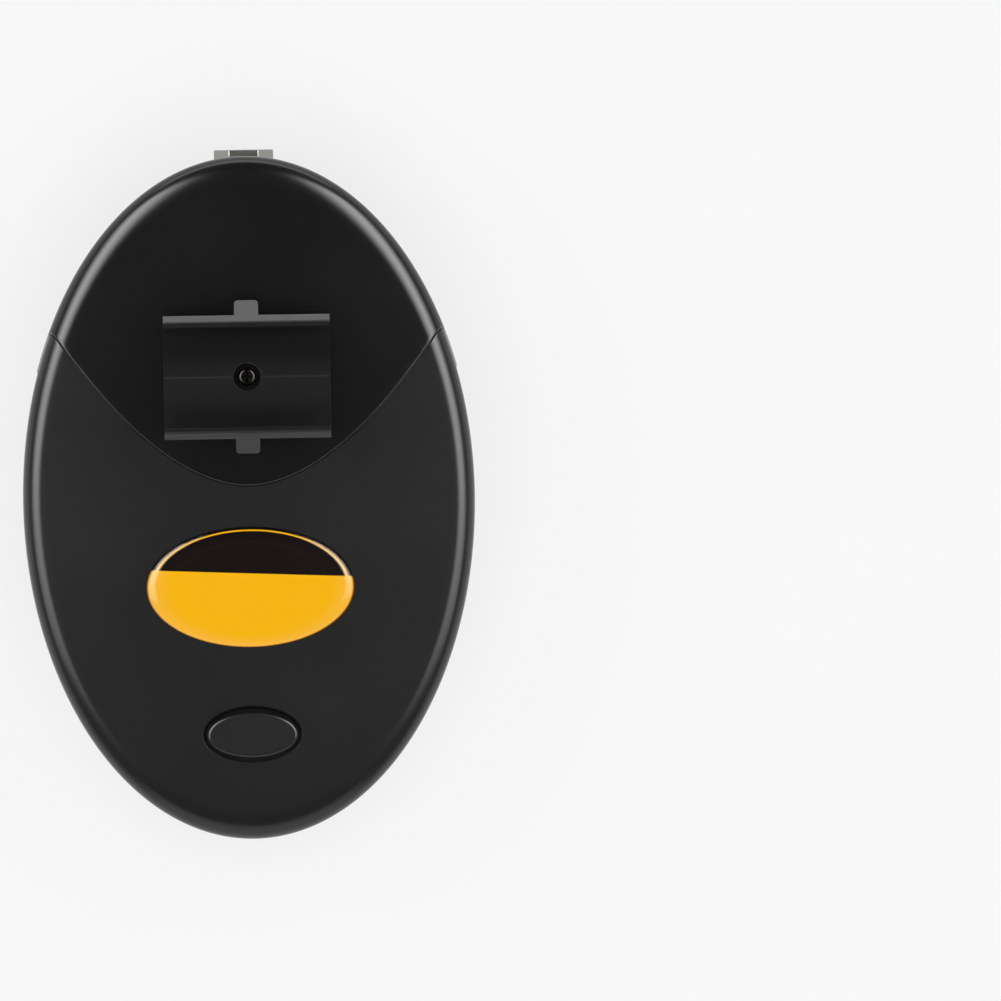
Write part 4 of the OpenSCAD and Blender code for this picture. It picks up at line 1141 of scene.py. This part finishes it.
# a dark steel finish, made darker still as painted shade, for the screw and washer deep in the cradle's
# well
dark_steel_painted_shade = turned_metal("dark_steel_painted_shade", (0.04, 0.039, 0.037), 0.25)
cradle_screw = pan_screw("cradle_screw", 5 * MM, 1.8 * MM, 3 * MM, 6.5 * MM)
cradle_screw.transform(Matrix.Translation((0, CRADLE_Y, 62.52 * MM)))
fitted("cradle_screw", cradle_screw, dark_steel_painted_shade, "carrier", ["cradle_screw"])
shield = softened("dust_shield", "dust_shield", 0.15 * MM, lining_rubber)

# ---- Power inlet ----
# A threaded barrel jack through the rear wall, held by a nickel hexagon nut, with a plated
# centre pin.
bright_nickel = turned_metal("bright_nickel", (0.72, 0.69, 0.64), 0.2)
dull_nickel = turned_metal("dull_nickel", (0.34, 0.33, 0.31), 0.3)
inlet_nut = softened("inlet_nut", "inlet_nut_ring", 0.3 * MM, dull_nickel)

# ---- Pieces inside ----
# The drive, switch, cells and wires keep the shapes of the CAD model, and get the finish of
# the real ones: plated cans, brass, nylon, phenolic board, wrapped cells and PVC wires.


def finish(material, *cad_names):
    """Gives CAD pieces a detailed material in place of their flat one."""
    for cad_name in cad_names:
        for place in nodes[cad_name].material_slots:
            place.material = material


def waxy_plastic(name, colour, roughness):
    """Natural plastic or rubber, which lets light in and has a faint mottle."""
    material, tree = material_tree(name)
    where = tree.add("ShaderNodeTexCoord").out("Object")
    cloud = tree.add("ShaderNodeTexNoise", {}, {"Vector": where, "Scale": 120.0, "Detail": 3.0})
    speck = tree.add("ShaderNodeTexNoise", {}, {"Vector": where, "Scale": 1500.0, "Detail": 2.0})
    darker = (*(c * 0.82 for c in colour), 1)
    relief = tree.add("ShaderNodeBump", {}, {"Height": speck, "Distance": 4e-6, "Strength": 0.5})
    surface = tree.add(
        "ShaderNodeBsdfPrincipled",
        {},
        {
            "Base Color": mixed(cloud * 0.8 + speck * 0.2, (*colour, 1), darker),
            "Roughness": roughness + (cloud - 0.5) * 0.1,
            "Normal": relief,
        },
    )
    tree.add("ShaderNodeOutputMaterial", {}, {"Surface": surface})
    return material


def phenolic_board(name):
    """Tan paper laminate with a row of tinned pads and a fine fibre."""
    material, tree = material_tree(name)
    where = tree.add("ShaderNodeTexCoord").out("Object")
    stretched = tree.add("ShaderNodeMapping", {}, {"Vector": where, "Scale": (500.0, 4000.0, 1500.0)})
    fibre = tree.add("ShaderNodeTexNoise", {}, {"Vector": stretched, "Scale": 1.0, "Detail": 3.0})
    at = tree.add("ShaderNodeSeparateXYZ", {}, {0: where})
    step = 2.54 * MM
    across = (at.out("X") / step).maths("PINGPONG", at.out("X") / step, 0.5)
    along = (at.out("Y") / step).maths("PINGPONG", at.out("Y") / step, 0.5)
    away = (across * across + along * along) ** 0.5
    pad = away < 0.22
    face = mixed(fibre, (0.42, 0.25, 0.085, 1), (0.30, 0.165, 0.05, 1))
    surface = tree.add(
        "ShaderNodeBsdfPrincipled",
        {},
        {
            "Base Color": mixed(pad, face, (0.55, 0.53, 0.5, 1)),
            "Roughness": 0.5 - pad * 0.2 + fibre * 0.1,
            "Metallic": pad,
        },
    )
    tree.add("ShaderNodeOutputMaterial", {}, {"Surface": surface})
    return material


CELL_PITCH = 15.1 * MM
CELLS_MIDDLE_Y = -14.65 * MM


def cell_wrapper(name):
    """A plain AA wrapper: slate with a copper band at the positive end, steel at both tips."""
    material, tree = material_tree(name)
    where = tree.add("ShaderNodeTexCoord").out("Object")
    at = tree.add("ShaderNodeSeparateXYZ", {}, {0: where})
    lane = at.out("X") / CELL_PITCH + 2.0
    lane = lane.maths("FLOOR", lane)
    odd = lane.maths("MODULO", lane, 2.0)
    along = (at.out("Y") - CELLS_MIDDLE_Y) * (1.0 - odd * 2.0) / MM
    scuff = tree.add("ShaderNodeTexNoise", {}, {"Vector": where, "Scale": 260.0, "Detail": 4.0})
    sleeve = mixed(scuff * 0.5, (0.035, 0.04, 0.05, 1), (0.06, 0.066, 0.08, 1))
    band = mixed(scuff * 0.5, (0.52, 0.22, 0.08, 1), (0.42, 0.17, 0.06, 1))
    wrapped = mixed(along > 12.0, sleeve, band)
    size = along.maths("ABSOLUTE", along)
    bare = size > 24.8
    surface = tree.add(
        "ShaderNodeBsdfPrincipled",
        {},
        {
            "Base Color": mixed(bare, wrapped, (0.6, 0.59, 0.57, 1)),
            "Roughness": 0.28 + scuff * 0.12,
            "Metallic": bare,
        },
    )
    tree.add("ShaderNodeOutputMaterial", {}, {"Surface": surface})
    return material


plated_can = turned_metal("plated_can", (0.58, 0.57, 0.55), 0.32, 900.0)
spring_steel = turned_metal("spring_steel", (0.55, 0.54, 0.52), 0.3)
turned_brass = turned_metal("turned_brass", (0.72, 0.50, 0.19), 0.27)
copper_winding = turned_metal("copper_winding", (0.75, 0.30, 0.13), 0.38, 2500.0, 0.4)
natural_nylon = waxy_plastic("natural_nylon", (0.70, 0.69, 0.63), 0.42)
grey_nylon = moulded_plastic("grey_nylon", (0.085, 0.088, 0.092), 0.45)
black_nylon = moulded_plastic("black_nylon", (0.012, 0.012, 0.0125), 0.4)
black_rubber = moulded_plastic("black_rubber", (0.013, 0.0125, 0.012), 0.62, 0.9)
ferrite = moulded_plastic("ferrite", (0.028, 0.027, 0.027), 0.55, 0.9)
ceramic_tan = waxy_plastic("ceramic_tan", (0.45, 0.22, 0.08), 0.35)
blue_sleeve = waxy_plastic("blue_sleeve", (0.035, 0.075, 0.20), 0.35)
red_pvc = waxy_plastic("red_pvc", (0.42, 0.02, 0.015), 0.38)
black_pvc = waxy_plastic("black_pvc", (0.014, 0.014, 0.015), 0.38)
yellow_pvc = waxy_plastic("yellow_pvc", (0.62, 0.40, 0.02), 0.38)

finish(plated_can, "motor_can")
finish(spring_steel, "motor_shaft", "button_spring", "battery_springs", "motor_screws", "frame_screws")
finish(spring_steel, "board_screws", "guide_pins", "bearing_outer", "bearing_balls", "bearing_inner")
# the washer takes the dark steel as painted shade of the well
finish(dark_steel_painted_shade, "cradle_washer", "bearing_clip")
finish(bright_nickel, "battery_contacts", "inlet_pin", "motor_terminals")
finish(turned_brass, "eccentric", "crank_pin")
finish(copper_winding, "motor_armature")
finish(natural_nylon, "motor_end_cap", "switch_plunger", "carrier")
finish(grey_nylon, "motor_frame")
finish(black_nylon, "inlet_body", "switch_body")
finish(black_rubber, "guide_sleeves")
finish(ferrite, "motor_magnets")
finish(ceramic_tan, "motor_capacitor")
finish(blue_sleeve, "board_components")
finish(phenolic_board("phenolic_board"), "switch_board")
finish(cell_wrapper("cell_wrapper"), "battery_cells")
finish(red_pvc, "motor_leads")
finish(black_pvc, "battery_leads")
finish(yellow_pvc, "inlet_leads")
